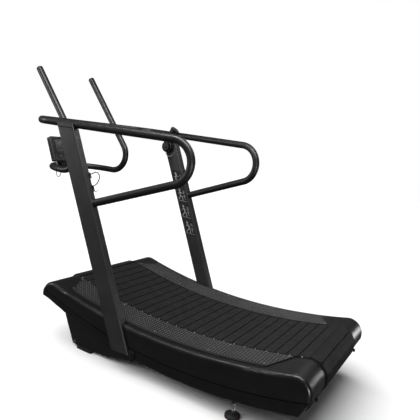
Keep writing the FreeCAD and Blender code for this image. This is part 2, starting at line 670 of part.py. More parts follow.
def push_path():
    low_x = PUSH_TIP[0] + PUSH_LEAN * (PUSH_TIP[1] - PUSH_LOW_Z)
    points = [vec(PUSH_TIP[0], PUSH_Y, PUSH_TIP[1]), vec(low_x, PUSH_Y, PUSH_LOW_Z),
              vec(PUSH_ARC_X, PUSH_Y, PUSH_LOW_Z), vec(PUSH_ARC_X, -PUSH_Y, PUSH_LOW_Z),
              vec(low_x, -PUSH_Y, PUSH_LOW_Z), vec(PUSH_TIP[0], -PUSH_Y, PUSH_TIP[1])]
    return fillet_path(points, [PUSH_BEND_R, PUSH_ARC_R, PUSH_ARC_R, PUSH_BEND_R])


def make_push_bar():
    tube = bent_tube(push_path(), PUSH_R, TUBE_WALL)
    crossbar = Part.makeCylinder(RAIL_R, 700, vec(RAIL_FRONT_X, -350, RAIL_Z), FreeCAD.Vector(0, 1, 0))
    tube = tube.cut(crossbar)
    export(max(tube.Solids, key=lambda solid: solid.Volume), "push_bar")
    up = FreeCAD.Vector(-PUSH_LEAN, 0, 1).normalize()
    tip = vec(PUSH_TIP[0], -PUSH_Y, PUSH_TIP[1])
    cap = Part.makeCylinder(PUSH_R, 6, tip, up)
    cap = cap.makeFillet(5, [edge for edge in cap.Edges if (edge.CenterOfMass - tip).Length > 5
                             and edge.Curve.TypeId == "Part::GeomCircle"])
    plug = Part.makeCylinder(PUSH_R - TUBE_WALL, 14, tip - up * 14, up)
    export(Part.makeCompound(both(cap.fuse(plug))), "push_bar_caps")


# ---- Console and lever -----------------------------------------------------------------------------

def make_console():
    half = CONSOLE_W / 2
    back = local_box(-CONSOLE_T, -8, -half, half, 0, CONSOLE_H)
    back = back.makeFillet(6, [edge for edge in back.Edges if edge.BoundBox.XLength > 15])
    back = back.cut(local_box(-CONSOLE_T + 3, 0, -half + 3, half - 3, 3, CONSOLE_H - 3))
    face = local_box(-8, 0, -half, half, 0, CONSOLE_H)
    face = face.makeFillet(6, [edge for edge in face.Edges if edge.BoundBox.XLength > 5])
    face = face.cut(local_box(-3, 5, -84, 84, 50, 132))
    screen = local_box(-3, -1, -83.5, 83.5, 50.5, 131.5)
    for y in BUTTON_ROWS:
        hole = Part.makeCylinder(BUTTON_R + 0.4, 30, FreeCAD.Vector(-12, y, BUTTON_Z),
                                 FreeCAD.Vector(1, 0, 0))
        face = face.cut(hole)
    for number, y in enumerate(BUTTON_ROWS, start=1):
        button = Part.makeCylinder(BUTTON_R, 8.5, FreeCAD.Vector(-6, y, BUTTON_Z),
                                   FreeCAD.Vector(1, 0, 0))
        rim = [edge for edge in button.Edges if edge.CenterOfMass.x > 2]
        button = button.makeFillet(1.2, rim)
        export(tilted(button, CONSOLE_FOOT, CONSOLE_TILT), "console_button_%d" % number)
    export(tilted(back, CONSOLE_FOOT, CONSOLE_TILT), "console_back")
    export(tilted(face, CONSOLE_FOOT, CONSOLE_TILT), "console_face")
    export(tilted(screen, CONSOLE_FOOT, CONSOLE_TILT), "console_screen")


def make_console_bracket():
    """Saddle on the push bar's arc with an upright plate behind the console."""
    plate = local_box(-CONSOLE_T - 5, -CONSOLE_T, -50, 50, -8, 95)
    plate = tilted(plate, CONSOLE_FOOT, CONSOLE_TILT)
    foot_x = PUSH_ARC_X
    saddle = box(foot_x - 10, foot_x + 30, -50, 50, PUSH_LOW_Z, PUSH_LOW_Z + 24)
    bracket = plate.fuse(saddle)
    console = tilted(local_box(-CONSOLE_T, 5, -150, 150, -1, 200), CONSOLE_FOOT, CONSOLE_TILT)
    bracket = bracket.cut(sweep(push_path(), PUSH_R)).cut(console)
    export(max(bracket.Solids, key=lambda solid: solid.Volume), "console_bracket")


def make_lever():
    x, y, z = LEVER_HUB
    face_y = 402.0
    housing = rod(x, z, y - 5, face_y, HUB_R)
    housing = housing.makeFillet(4, [edge for edge in housing.Edges
                                     if abs(edge.CenterOfMass.y - (y - 5)) < 0.1 and len(edge.Vertexes) == 1])
    housing = housing.fuse(rod(x, z, y - 20, y - 4, 9))
    housing = housing.cut(upright_right(UPRIGHT_BOTTOM, RAIL_Z))
    export(housing, "lever_housing")
    arm_y0, arm_y1 = y - 17, y - 9
    arm = local_box(-8, 8, arm_y0, arm_y1, 0, LEVER_L)
    arm = arm.fuse(Part.makeCylinder(24, arm_y1 - arm_y0, FreeCAD.Vector(0, arm_y0, 0),
                                     FreeCAD.Vector(0, 1, 0)))
    arm = arm.cut(Part.makeCylinder(9 + RUNNING_GAP, 40, FreeCAD.Vector(0, arm_y0 - 10, 0),
                                    FreeCAD.Vector(0, 1, 0)))
    arm = tilted(arm, (x, 0, z), -LEVER_ANGLE)
    export(arm, "resistance_lever")
    middle_y = (arm_y0 + arm_y1) / 2
    grip = Part.makeCylinder(13, 58, FreeCAD.Vector(-12, middle_y, LEVER_L + 6), FreeCAD.Vector(1, 0, 0))
    grip = grip.makeFillet(5, [edge for edge in grip.Edges if len(edge.Vertexes) == 1])
    collar = local_box(-12, 12, arm_y0 - 6, arm_y1 + 6, LEVER_L - 26, LEVER_L)
    knob = grip.fuse(collar).cut(local_box(-8, 8, arm_y0, arm_y1, LEVER_L - 30, LEVER_L))
    export(tilted(knob, (x, 0, z), -LEVER_ANGLE), "lever_knob")


def upright_right(z0, z1):
    return mirrored(upright_prism(z0, z1, 0, UPRIGHT_Y))


def make_rear_guard():
    """Steel lip across the machine under the rear wrap, between the two skirts."""
    lip = polygon_solid(((720, 168), (724, 166), (709, 137), (705, 139)), -SKIRT_INNER_Y, SKIRT_INNER_Y)
    export(lip, "rear_guard")


def make_cables():
    export(cable(CONSOLE_CABLE, "console_cable"), "console_cable")
    export(cable(SENSOR_CABLE, "sensor_cable"), "sensor_cable")
    export(cable(BRAKE_CABLE, "brake_cable"), "brake_cable")


print("slat pitch %.2f" % SLAT_PITCH, "roller z %.1f" % ROLLER_Z)
make_slats()
make_drive_belts()
make_rollers()
make_guides()
make_brake()
make_side_plates()
make_frame_tubes()
make_frame_brackets()
make_fasteners()
make_stand()
make_rear_feet()
make_covers()
make_skirts()
make_pads()
make_handrail()
make_uprights()
make_push_bar()
make_console()
make_console_bracket()
make_lever()
make_rear_guard()
make_cables()
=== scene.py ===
import json
import math
import random

import bpy
from mathutils import Matrix, Vector


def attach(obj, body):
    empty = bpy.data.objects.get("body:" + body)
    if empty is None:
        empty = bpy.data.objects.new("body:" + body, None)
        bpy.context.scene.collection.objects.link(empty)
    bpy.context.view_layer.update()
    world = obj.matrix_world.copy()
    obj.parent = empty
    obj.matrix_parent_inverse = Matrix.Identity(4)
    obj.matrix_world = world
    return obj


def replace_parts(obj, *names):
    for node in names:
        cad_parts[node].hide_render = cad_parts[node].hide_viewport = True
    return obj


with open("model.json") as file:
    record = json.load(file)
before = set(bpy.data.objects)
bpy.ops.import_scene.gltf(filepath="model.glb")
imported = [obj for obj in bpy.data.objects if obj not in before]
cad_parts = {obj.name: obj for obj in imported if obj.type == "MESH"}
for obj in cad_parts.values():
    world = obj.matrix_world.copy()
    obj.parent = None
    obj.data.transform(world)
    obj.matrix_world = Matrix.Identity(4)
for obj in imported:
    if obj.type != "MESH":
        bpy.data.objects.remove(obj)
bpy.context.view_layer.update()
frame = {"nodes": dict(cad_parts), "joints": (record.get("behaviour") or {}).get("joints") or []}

# Looks of the curved manual treadmill, in metres in the CAD frame: +X to the rear, +Y to the runner's
# right, +Z up. deck() places points in millimetres from the middle of the deck, as the part is laid out.
JOINTS = {joint["name"]: joint for joint in frame["joints"]}
FRONT_AXLE = Vector(JOINTS["front_roller_spin"]["pos_m"])
REAR_AXLE = Vector(JOINTS["rear_roller_spin"]["pos_m"])
DECK_X = (FRONT_AXLE.x + REAR_AXLE.x) / 2
MM = 0.001
REAR = Vector((1, 0, 0))
RIGHT = Vector((0, 1, 0))
UP = Vector((0, 0, 1))
SIDES = (("left", -1), ("right", 1))

# The part's layout in millimetres: the concave tread's lowest height, radius and centre height, the end
# rollers' axes, how far covers and pads lie below the tread, and the covers' radius round the rollers.
TREAD_LOW = 229.0
TREAD_R = 2800.0
TREAD_CZ = TREAD_LOW + TREAD_R
ROLLER_X = (REAR_AXLE.x - DECK_X) / MM
ROLLER_Z = REAR_AXLE.z / MM
COVER_DROP = 5.0
COVER_NOSE = 71.0
PAD_DROP = 0.8


def deck(x, y, z):
    return Vector((DECK_X + x * MM, y * MM, z * MM))


def tread_z(x, depth=0.0):
    """Height of the walking surface at x, or of a surface `depth` below it, in millimetres."""
    return TREAD_CZ - math.sqrt((TREAD_R + depth) ** 2 - x ** 2)


# ---- Materials -------------------------------------------------------------------------------------

# Band of a noise texture's values that colour and roughness are spread over.
NOISE_LOW = 0.3
NOISE_HIGH = 0.7


class Nodes:
    """Short calls for building one node material."""

    def __init__(self, name):
        self.material = bpy.data.materials.new(name)
        self.material.use_nodes = True
        self.tree = self.material.node_tree
        self.shader = self.tree.nodes["Principled BSDF"]
        self.space = self.add("ShaderNodeTexCoord").outputs["Object"]

    def add(self, kind):
        return self.tree.nodes.new(kind)

    def link(self, output, target):
        self.tree.links.new(output, target)

    def noise(self, scale, detail=3.0, roughness=0.5, stretch=None):
        node = self.add("ShaderNodeTexNoise")
        node.inputs["Scale"].default_value = scale
        node.inputs["Detail"].default_value = detail
        node.inputs["Roughness"].default_value = roughness
        source = self.space
        if stretch:
            mapping = self.add("ShaderNodeMapping")
            mapping.inputs["Scale"].default_value = stretch
            self.link(self.space, mapping.inputs["Vector"])
            source = mapping.outputs["Vector"]
        self.link(source, node.inputs["Vector"])
        return node.outputs["Fac"]

    def cells(self, scale):
        node = self.add("ShaderNodeTexVoronoi")
        node.inputs["Scale"].default_value = scale
        self.link(self.space, node.inputs["Vector"])
        return node.outputs["Distance"]

    def remap(self, source, low, high):
        node = self.add("ShaderNodeMapRange")
        node.inputs["From Min"].default_value = NOISE_LOW
        node.inputs["From Max"].default_value = NOISE_HIGH
        node.inputs["To Min"].default_value = low
        node.inputs["To Max"].default_value = high
        self.link(source, node.inputs["Value"])
        return node.outputs["Result"]

    def tint(self, source, dark, light):
        """Colour ramp from dark to light grey, set on the base colour."""
        ramp = self.add("ShaderNodeValToRGB")
        ramp.color_ramp.elements[0].position = NOISE_LOW
        ramp.color_ramp.elements[0].color = (dark, dark, dark, 1)
        ramp.color_ramp.elements[1].position = NOISE_HIGH
        ramp.color_ramp.elements[1].color = (light, light, light, 1)
        self.link(source, ramp.inputs["Fac"])
        self.link(ramp.outputs["Color"], self.shader.inputs["Base Color"])

    def roughness(self, source, low, high):
        self.link(self.remap(source, low, high), self.shader.inputs["Roughness"])

    def bump(self, source, strength, distance, under=None):
        node = self.add("ShaderNodeBump")
        node.inputs["Strength"].default_value = strength
        node.inputs["Distance"].default_value = distance
        self.link(source, node.inputs["Height"])
        if under:
            self.link(under, node.inputs["Normal"])
        return node.outputs["Normal"]

    def finish(self, normal, metallic=0.0, specular=0.5):
        self.link(normal, self.shader.inputs["Normal"])
        self.shader.inputs["Metallic"].default_value = metallic
        self.shader.inputs["Specular IOR Level"].default_value = specular
        return self.material


def powder_coat(name, dark, light, rough, grain=900.0, strength=0.25):
    """Baked powder paint: fine orange peel, soft cloudiness in the gloss."""
    m = Nodes(name)
    m.tint(m.noise(9.0, 4.0), dark, light)
    m.roughness(m.noise(25.0, 3.0), rough - 0.05, rough + 0.06)
    peel = m.bump(m.noise(grain, 2.0), strength, 0.0002)
    return m.finish(peel, specular=0.45)


def moulded_plastic(name, dark, light, rough, specular=0.45):
    """Spark-eroded moulding grain with faint flow marks and rubbed patches."""
    m = Nodes(name)
    m.tint(m.noise(6.0, 5.0, 0.6), dark, light)
    m.roughness(m.noise(14.0, 4.0, 0.6), rough - 0.06, rough + 0.08)
    grain = m.bump(m.cells(1400.0), 0.18, 0.00015)
    flow = m.bump(m.noise(5.0, 2.0, stretch=(1.0, 6.0, 6.0)), 0.05, 0.002, under=grain)
    return m.finish(flow, specular=specular)


def slat_rubber():
    """Grained running surface with dust caught in the grain and long scuffs."""
    m = Nodes("slat_rubber")
    grain = m.cells(420.0)
    speck = m.noise(190.0, 3.0, 0.85)
    m.tint(speck, 0.0005, 0.026)
    m.roughness(m.noise(18.0, 4.0), 0.62, 0.8)
    pits = m.bump(grain, 0.8, 0.001)
    scuffs = m.bump(m.noise(40.0, 3.0, stretch=(0.25, 3.0, 1.0)), 0.12, 0.0008, under=pits)
    return m.finish(scuffs, specular=0.14)


def black_rubber(name, dark=0.008, light=0.02):
    """Fine-grained rubber with an uneven dull gloss."""
    m = Nodes(name)
    m.tint(m.noise(60.0, 4.0), dark, light)
    m.roughness(m.noise(30.0, 3.0), 0.55, 0.75)
    return m.finish(m.bump(m.noise(700.0, 3.0), 0.3, 0.0003), specular=0.4)


def bare_metal(name, dark, light, rough, stretch):
    """Bright metal with turning or brushing lines along the stretched direction."""
    m = Nodes(name)
    lines = m.noise(160.0, 3.0, 0.6, stretch=stretch)
    m.tint(lines, dark, light)
    m.roughness(lines, rough - 0.06, rough + 0.1)
    return m.finish(m.bump(lines, 0.15, 0.0001), metallic=1.0)


def plain_gloss(name, level, rough):
    """Smooth plastic or ink in one grey with a faint unevenness."""
    m = Nodes(name)
    m.tint(m.noise(120.0, 3.0), level * 0.85, level)
    m.roughness(m.noise(80.0, 3.0), rough - 0.03, rough + 0.04)
    return m.finish(m.bump(m.noise(500.0, 2.0), 0.06, 0.0001))


PAINT = powder_coat("frame_paint", 0.004, 0.007, 0.5)
TUBE = powder_coat("tube_paint", 0.006, 0.01, 0.42, grain=260.0, strength=0.04)
POST = powder_coat("upright_paint", 0.02, 0.03, 0.42, grain=1100.0, strength=0.35)
COVER = moulded_plastic("cover_plastic", 0.004, 0.007, 0.34)
SKIRT = moulded_plastic("skirt_paint", 0.003, 0.005, 0.36)
SLAT = slat_rubber()
PAD = moulded_plastic("pad_plate", 0.008, 0.014, 0.55, specular=0.3)
# The lozenges are the pad's own dark moulding; their light grey is a painted highlight on the raised ridges.
LOZENGE_HIGHLIGHT = moulded_plastic("pad_lozenge_painted_highlight", 0.12, 0.2, 0.3, specular=0.6)
RUBBER = black_rubber("black_rubber")
BRIGHT = bare_metal("bright_steel", 0.55, 0.75, 0.22, (1.0, 1.0, 8.0))
STEEL = bare_metal("machined_steel", 0.35, 0.55, 0.34, (8.0, 0.6, 8.0))
ALUMINIUM = bare_metal("disc_aluminium", 0.6, 0.8, 0.3, (6.0, 1.0, 6.0))
CHROME = bare_metal("chrome_stud", 0.6, 0.7, 0.12, (1.0, 1.0, 14.0))
CONSOLE = moulded_plastic("console_plastic", 0.01, 0.016, 0.42)
SCREEN = plain_gloss("screen_plastic", 0.008, 0.3)
BUTTON = black_rubber("button_rubber", 0.03, 0.05)
JACKET = black_rubber("cable_jacket", 0.008, 0.014)
WIRE = plain_gloss("grey_wire", 0.35, 0.4)
STICKER = plain_gloss("sticker_base", 0.0015, 0.6)
INK = plain_gloss("sticker_ink", 0.5, 0.45)
GLOW = plain_gloss("screen_digits", 0.3, 0.3)
# Light grey on bolt heads, screw sockets, clip screws and the lever moulding: a painted glint, not their own
# colour.
PAINTED_HIGHLIGHT = plain_gloss("painted_highlight_grey", 0.4, 0.35)
DARK_ZINC = bare_metal("dark_zinc", 0.05, 0.09, 0.3, (1.0, 1.0, 6.0))

NODE_MATERIALS = (
    (("handrail", "push_bar"), TUBE), (("push_bar_caps",), RUBBER), (("upright",), POST),
    (("front_cover", "side_cover"), COVER), (("side_skirt",), SKIRT),
    (("tread_slats",), SLAT), (("tread_pad",), PAD),
    (("front_foot_pads", "drive_belts", "transport_wheel", "rear_foot"), RUBBER),
    (("frame_fasteners",), DARK_ZINC), (("stub_bolts", "transport_axle"), BRIGHT),
    (("front_roller", "rear_roller", "guide_bearings", "roller_bearings"), STEEL),
    (("brake_disc",), ALUMINIUM),
    (("console_back", "console_face", "lever_housing", "lever_knob"), CONSOLE),
    (("console_screen",), SCREEN), (("console_button",), BUTTON),
    (("brake_cable", "console_cable", "sensor_cable"), JACKET),
)


def paint_nodes():
    """Give every CAD node the material of the last entry its name starts with, or frame paint."""
    for name, node in frame["nodes"].items():
        chosen = PAINT
        for starts, material in NODE_MATERIALS:
            if name.startswith(starts):
                chosen = material
        node.data.materials.clear()
        node.data.materials.append(chosen)


# ---- Mesh helpers ----------------------------------------------------------------------------------

SHARP_ANGLE = math.radians(35.0)


def add_mesh(name, points, faces, material, slot, body="frame", smooth=True):
    mesh = bpy.data.meshes.new(name)
    mesh.from_pydata([tuple(point) for point in points], [], faces)
    mesh.validate()
    mesh.materials.append(material)
    piece = bpy.data.objects.new(name, mesh)
    bpy.context.scene.collection.objects.link(piece)
    if smooth:
        mesh.polygons.foreach_set("use_smooth", [True] * len(mesh.polygons))
        mesh.set_sharp_from_angle(angle=SHARP_ANGLE)
    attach(piece, body)
    return piece


def circle(centre, radius, side, other, count):
    """Points round a circle in the plane of the unit vectors side and other."""
    points = []
    for k in range(count):
        angle = 2 * math.pi * k / count
        points.append(centre + (side * math.cos(angle) + other * math.sin(angle)) * radius)
    return points


class Shape:
    """Collects points and faces of one piece."""

    def __init__(self):
        self.points = []
        self.faces = []

    def add(self, points, faces):
        base = len(self.points)
        self.points += points
        self.faces += [tuple(base + index for index in face) for face in faces]

    def rings(self, rings, closed=False):
        """Skin over rings of equal point count, capped at both ends unless closed into a loop."""
        count = len(rings[0])
        points = [point for ring in rings for point in ring]
        faces = []
        spans = len(rings) if closed else len(rings) - 1
        for row in range(spans):
            here, there = row * count, ((row + 1) % len(rings)) * count
            for k in range(count):
                ahead = (k + 1) % count
                faces.append((here + k, here + ahead, there + ahead, there + k))
        if not closed:
            faces.append(tuple(reversed(range(count))))
            faces.append(tuple(range((len(rings) - 1) * count, len(rings) * count)))
        self.add(points, faces)

    def lathe(self, profile, centre, axis, segments):
        """Turned form: profile of (radius, height) along axis from centre, in metres."""
        turn = axis.to_track_quat("Z", "Y").to_matrix()
        rings = []
        for radius, height in profile:
            ring = []
            for k in range(segments):
                angle = 2 * math.pi * k / segments
                local = Vector((radius * math.cos(angle), radius * math.sin(angle), height))
                ring.append(centre + turn @ local)
            rings.append(ring)
        self.rings(rings)

    def tube(self, path, radius, segments, closed=False):
        """Round tube along a list of points; radius may be a list, one per point."""
        rings = []
        count = len(path)
        side = None
        for index, point in enumerate(path):
            ahead = path[(index + 1) % count] if closed or index + 1 < count else point
            behind = path[index - 1] if closed or index > 0 else point
            along = (ahead - behind).normalized()
            if side is None:
                side = along.orthogonal().normalized()
            side = (side - along * side.dot(along)).normalized()
            other = along.cross(side)
            reach = radius[index] if isinstance(radius, list) else radius
            rings.append(circle(point, reach, side, other, segments))
        self.rings(rings, closed=closed)

    def slab(self, outline, depth, centre, right, up, bevel=0.0):
        """Flat outline (points in metres along right and up) extruded by depth along right x up.

        A bevel draws the far face in towards the outline's middle.
        """
        out = right.cross(up).normalized()
        middle = sum((Vector(p) for p in outline), Vector((0, 0))) / len(outline)

        def ring(shrink, height):
            made = []
            for p in outline:
                q = Vector(p)
                away = q - middle
                q = q - away.normalized() * shrink
                made.append(centre + right * q.x + up * q.y + out * height)
            return made
        if bevel:
            self.rings([ring(0, 0), ring(0, depth - bevel), ring(bevel, depth)])
        else:
            self.rings([ring(0, 0), ring(0, depth)])

    def build(self, name, material, slot, body="frame", **options):
        return add_mesh(name, self.points, self.faces, material, slot, body, **options)


def bar(start, end, width):
    """Outline of a straight stroke with round ends, in its plane."""
    a, b = Vector(start), Vector(end)
    along = (b - a).normalized()
    across = Vector((-along.y, along.x)) * width / 2
    tip = along * width / 2
    return [a + across, a + (across - tip) * 0.7, a - (across + tip) * 0.7, a - across,
            b - across, b + (tip - across) * 0.7, b + (tip + across) * 0.7, b + across]


def disc(centre, radius, count=20):
    """Round outline in its plane."""
    return [(centre[0] + radius * math.cos(2 * math.pi * k / count),
             centre[1] + radius * math.sin(2 * math.pi * k / count)) for k in range(count)]


def rounded_rectangle(width, height, radius, steps=5):
    """Outline about its middle, in its plane."""
    points = []
    for cx, cy, start in ((1, 1, 0), (-1, 1, 90), (-1, -1, 180), (1, -1, 270)):
        for k in range(steps + 1):
            angle = math.radians(start + 90 * k / steps)
            points.append((cx * (width / 2 - radius) + radius * math.cos(angle),
                           cy * (height / 2 - radius) + radius * math.sin(angle)))
    return points


SEGMENTS = {"0": "abcdef", "1": "bc", "2": "abged", "3": "abgcd", "4": "fgbc", "5": "afgcd",
            "6": "afgedc"}
SEGMENT_ENDS = {"a": ((0, 1), (1, 1)), "b": ((1, 1), (1, 0.5)), "c": ((1, 0.5), (1, 0)),
                "d": ((0, 0), (1, 0)), "e": ((0, 0.5), (0, 0)), "f": ((0, 1), (0, 0.5)),
                "g": ((0, 0.5), (1, 0.5))}


def digit_strokes(text, corner, width, height, thick, stroke):
    """Seven-segment digits drawn with stroke(start, end, thick)."""
    for place, figure in enumerate(text):
        x, y = corner[0] + place * width * 1.5, corner[1]
        for segment in SEGMENTS[figure]:
            (ax, ay), (bx, by) = SEGMENT_ENDS[segment]
            stroke((x + ax * width, y + ay * height), (x + bx * width, y + by * height), thick)


# ---- Camera, light and floor -----------------------------------------------------------------------

CAMERA_PLACE = (1144.4, -2116.4, 1171.7)
CAMERA_YAW = math.radians(29.204)
CAMERA_PITCH = math.radians(9.201)
CAMERA_ROLL = math.radians(7.679)
SENSOR_WIDTH = 36
LENS = 41.1
WHITE = (1, 1, 1, 1)
FILL_LIGHT = 0.1
SUN_POWER = 4.6
SUN_SPREAD = math.radians(88)
SUN_DIRECTION = (0.5, 0.3, -1)
LIGHTS_AIM = (0, 0, 500)
FLOOR_REACH = 12.0
FLOOR_GREY = 0.93
FLOOR_ROUGHNESS = 0.9

# name, place in millimetres, width and height in metres, power
SOFTBOXES = (
    ("left_box", (-2900, -2000, 1500), (0.5, 1.6), 30),
    ("top_strip", (200, -900, 2700), (2.4, 0.3), 90),
    ("back_strip", (300, 1700, 2300), (2.4, 0.4), 12),
    ("right_box", (3000, -2100, 400), (0.6, 0.8), 50),
    ("rear_glow", (1700, 2500, 300), (0.8, 0.5), 9),
)


def make_camera():
    data = bpy.data.cameras.new("camera")
    data.sensor_width = SENSOR_WIDTH
    data.lens = LENS
    camera = bpy.data.objects.new("camera", data)
    bpy.context.scene.collection.objects.link(camera)
    level = math.cos(CAMERA_PITCH)
    ahead = Vector((-math.sin(CAMERA_YAW) * level, math.cos(CAMERA_YAW) * level, -math.sin(CAMERA_PITCH)))
    right = Vector((math.cos(CAMERA_YAW), math.sin(CAMERA_YAW), 0))
    up = right.cross(ahead)
    rolled_right = right * math.cos(CAMERA_ROLL) + up * math.sin(CAMERA_ROLL)
    rolled_up = up * math.cos(CAMERA_ROLL) - right * math.sin(CAMERA_ROLL)
    turn = Matrix((rolled_right, rolled_up, -ahead)).transposed()
    camera.matrix_world = Matrix.Translation(deck(*CAMERA_PLACE)) @ turn.to_4x4()
    bpy.context.scene.camera = camera


def make_world():
    """A weak white fill light, and plain white where the camera looks past the floor."""
    world = bpy.data.worlds.new("studio")
    world.use_nodes = True
    tree = world.node_tree
    fill = tree.nodes["Background"]
    fill.inputs["Color"].default_value = WHITE
    fill.inputs["Strength"].default_value = FILL_LIGHT
    backdrop = tree.nodes.new("ShaderNodeBackground")
    backdrop.inputs["Strength"].default_value = 1.0
    backdrop.inputs["Color"].default_value = WHITE
    rays = tree.nodes.new("ShaderNodeLightPath")
    choose = tree.nodes.new("ShaderNodeMixShader")
    tree.links.new(rays.outputs["Is Camera Ray"], choose.inputs["Fac"])
    tree.links.new(fill.outputs["Background"], choose.inputs[1])
    tree.links.new(backdrop.outputs["Background"], choose.inputs[2])
    tree.links.new(choose.outputs["Shader"], tree.nodes["World Output"].inputs["Surface"])
    bpy.context.scene.world = world
    bpy.context.scene.view_settings.view_transform = "Standard"


def aim_lamp(lamp, direction):
    lamp.rotation_euler = direction.to_track_quat("-Z", "Y").to_euler()
    bpy.context.scene.collection.objects.link(lamp)


def make_lights():
    """A broad sun that only lights surfaces, and softboxes that only show as highlights."""
    sun = bpy.data.lights.new("sky", "SUN")
    sun.energy = SUN_POWER
    sun.angle = SUN_SPREAD
    lamp = bpy.data.objects.new("sky", sun)
    aim_lamp(lamp, Vector(SUN_DIRECTION))
    lamp.visible_glossy = False
    for name, place, size, power in SOFTBOXES:
        light = bpy.data.lights.new(name, "AREA")
        light.shape = "RECTANGLE"
        light.size, light.size_y = size
        light.energy = power
        lamp = bpy.data.objects.new(name, light)
        lamp.location = deck(*place)
        aim_lamp(lamp, deck(*LIGHTS_AIM) - lamp.location)
        lamp.visible_diffuse = False


def make_floor():
    """Pale floor that catches the shadow but sends no light back to the machine."""
    material = bpy.data.materials.new("studio_floor")
    material.use_nodes = True
    shader = material.node_tree.nodes["Principled BSDF"]
    shader.inputs["Base Color"].default_value = (FLOOR_GREY, FLOOR_GREY, FLOOR_GREY, 1)
    shader.inputs["Roughness"].default_value = FLOOR_ROUGHNESS
    mesh = bpy.data.meshes.new("floor")
    corners = [(FLOOR_REACH * x, FLOOR_REACH * y, 0) for x, y in ((-1, -1), (1, -1), (1, 1), (-1, 1))]
    mesh.from_pydata(corners, [], [(0, 1, 2, 3)])
    mesh.materials.append(material)
    floor = bpy.data.objects.new("floor", mesh)
    bpy.context.scene.collection.objects.link(floor)
    floor.visible_glossy = False
    floor.visible_diffuse = False


# ---- Cords -----------------------------------------------------------------------------------------

CABLE_R = 2.4
CONSOLE_CABLE = ((-1060.0, -106.0, 884.6), (-1046.0, -107.0, 867.0), (-1038.0, -114.0, 846.0),
                 (-1024.0, -128.0, 826.0), (-1000.0, -148.0, 812.0), (-970.0, -170.0, 806.0),
                 (-940.0, -186.0, 808.0), (-917.0, -197.0, 818.0), (-906.0, -203.0, 837.0))
SENSOR_CABLE = ((-495.5, -411.0, 893.0), (-477.0, -411.0, 899.0), (-456.0, -411.0, 912.0),
                (-436.0, -411.0, 911.0), (-425.0, -411.0, 893.0), (-431.0, -411.0, 870.0),
                (-446.0, -411.0, 850.0), (-469.5, -411.0, 837.0))


def free_cord(name, node, route, material):
    """Loose lead that replaces a CAD cable: its route is in millimetres."""
    curve = bpy.data.curves.new(name, "CURVE")
    curve.dimensions = "3D"
    curve.bevel_depth = CABLE_R * MM
    curve.bevel_resolution = 5
    curve.resolution_u = 16
    curve.use_fill_caps = True
    spline = curve.splines.new("NURBS")
    spline.points.add(len(route) - 1)
    for point, place in zip(spline.points, route):
        point.co = (*deck(*place), 1)
    spline.order_u = 3
    spline.use_endpoint_u = True
    curve.materials.append(material)
    piece = bpy.data.objects.new(name, curve)
    bpy.context.scene.collection.objects.link(piece)
    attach(piece, "frame")
    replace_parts(piece, node)


def make_cords():
    free_cord("console_lead", "console_cable", CONSOLE_CABLE, WIRE)
    free_cord("sensor_lead", "sensor_cable", SENSOR_CABLE, JACKET)


# ---- Pads, slat bolts and cover lips ---------------------------------------------------------------

PAD_PLAN = ((-645.0, -237.0), (600.0, -237.0), (528.0, -388.0), (-556.0, -388.0))
PLATE_MARGIN = 8.0
FIRST_ROW_Y = -246.0
LOZENGE_ROWS = range(10)
LOZENGE_COLUMNS = range(-45, 43)
LOZENGE_PITCH = 15.0
LOZENGE_LENGTH = 12.5
LOZENGE_WIDTH = 4.8
LOZENGE_HEIGHT = 1.4
LOZENGE_SINK = 0.2


def inside_pad(x, y, margin):
    """Whether a point on the left pad is at least margin inside its four edges."""
    for (ax, ay), (bx, by) in zip(PAD_PLAN, PAD_PLAN[1:] + PAD_PLAN[:1]):
        length = math.hypot(bx - ax, by - ay)
        away = ((bx - ax) * (y - ay) - (by - ay) * (x - ax)) / length
        if -away < margin:
            return False
    return True


def lozenge(x, y, angle, sign):
    """Corners and ridge ends of one lozenge at x, y on the left pad, mirrored for the right pad."""
    along = Vector((math.cos(angle), math.sin(angle)))
    across = Vector((-along.y, along.x))
    tip, edge, ridge = along * LOZENGE_LENGTH / 2, across * LOZENGE_WIDTH / 2, along * LOZENGE_LENGTH / 4
    spots = ((tip, 0), (edge, 0), (-tip, 0), (-edge, 0), (ridge, LOZENGE_HEIGHT), (-ridge, LOZENGE_HEIGHT))
    points = []
    for offset, lift in spots:
        px, py = x + offset.x, y + offset.y
        points.append(deck(px, -sign * py, tread_z(px, PAD_DROP + LOZENGE_SINK) + lift))
    return points


def diamond_plate(side, sign):
    """Raised lozenges in a crossed pattern on the pad, painted light grey as a painted highlight on their
    ridges.
    """
    faces = [(0, 1, 4), (1, 5, 4), (1, 2, 5), (2, 3, 5), (3, 4, 5), (3, 0, 4)]
    if sign > 0:
        faces = [tuple(reversed(face)) for face in faces]
    shape = Shape()
    for row in LOZENGE_ROWS:
        for column in LOZENGE_COLUMNS:
            x, y = column * LOZENGE_PITCH, FIRST_ROW_Y - row * LOZENGE_PITCH
            if inside_pad(x, y, PLATE_MARGIN):
                angle = math.radians(45 if (row + column) % 2 else -45)
                shape.add(lozenge(x, y, angle, sign), faces)
    shape.build("tread_plate_" + side, LOZENGE_HIGHLIGHT, "pad_plate", smooth=False)


def make_pads():
    for side, sign in SIDES:
        diamond_plate(side, sign)


# x and distance from the middle of the machine, in millimetres
PAD_SCREWS = ((-624.0, 256.0), (-572.0, 366.0), (-330.0, 366.0), (-40.0, 366.0), (250.0, 366.0),
              (512.0, 366.0), (578.0, 256.0), (300.0, 256.0), (-320.0, 256.0))

# Turned profiles here and below are lists of (radius, height) in metres.
SCREW_RIM = ((0.0061, -0.001), (0.0061, 0.0005), (0.0052, 0.0017), (0.0034, 0.0019), (0.0031, 0.0007),
             (0.0, 0.0006))
SCREW_SOCKET = ((0.0031, 0.0006), (0.0031, 0.0017), (0.0026, 0.0019), (0.0022, 0.0012), (0.0, 0.0011))
SLAT_BOLT = ((0.0, 0.0), (0.003, 0.0), (0.003, 0.0026), (0.002, 0.0042), (0.0, 0.0042))
SLAT_PITCH = 52.81
SLAT_EDGE = 230.0
BOLT_SHIFT = -9.0
BOLT_DROP = 4.2


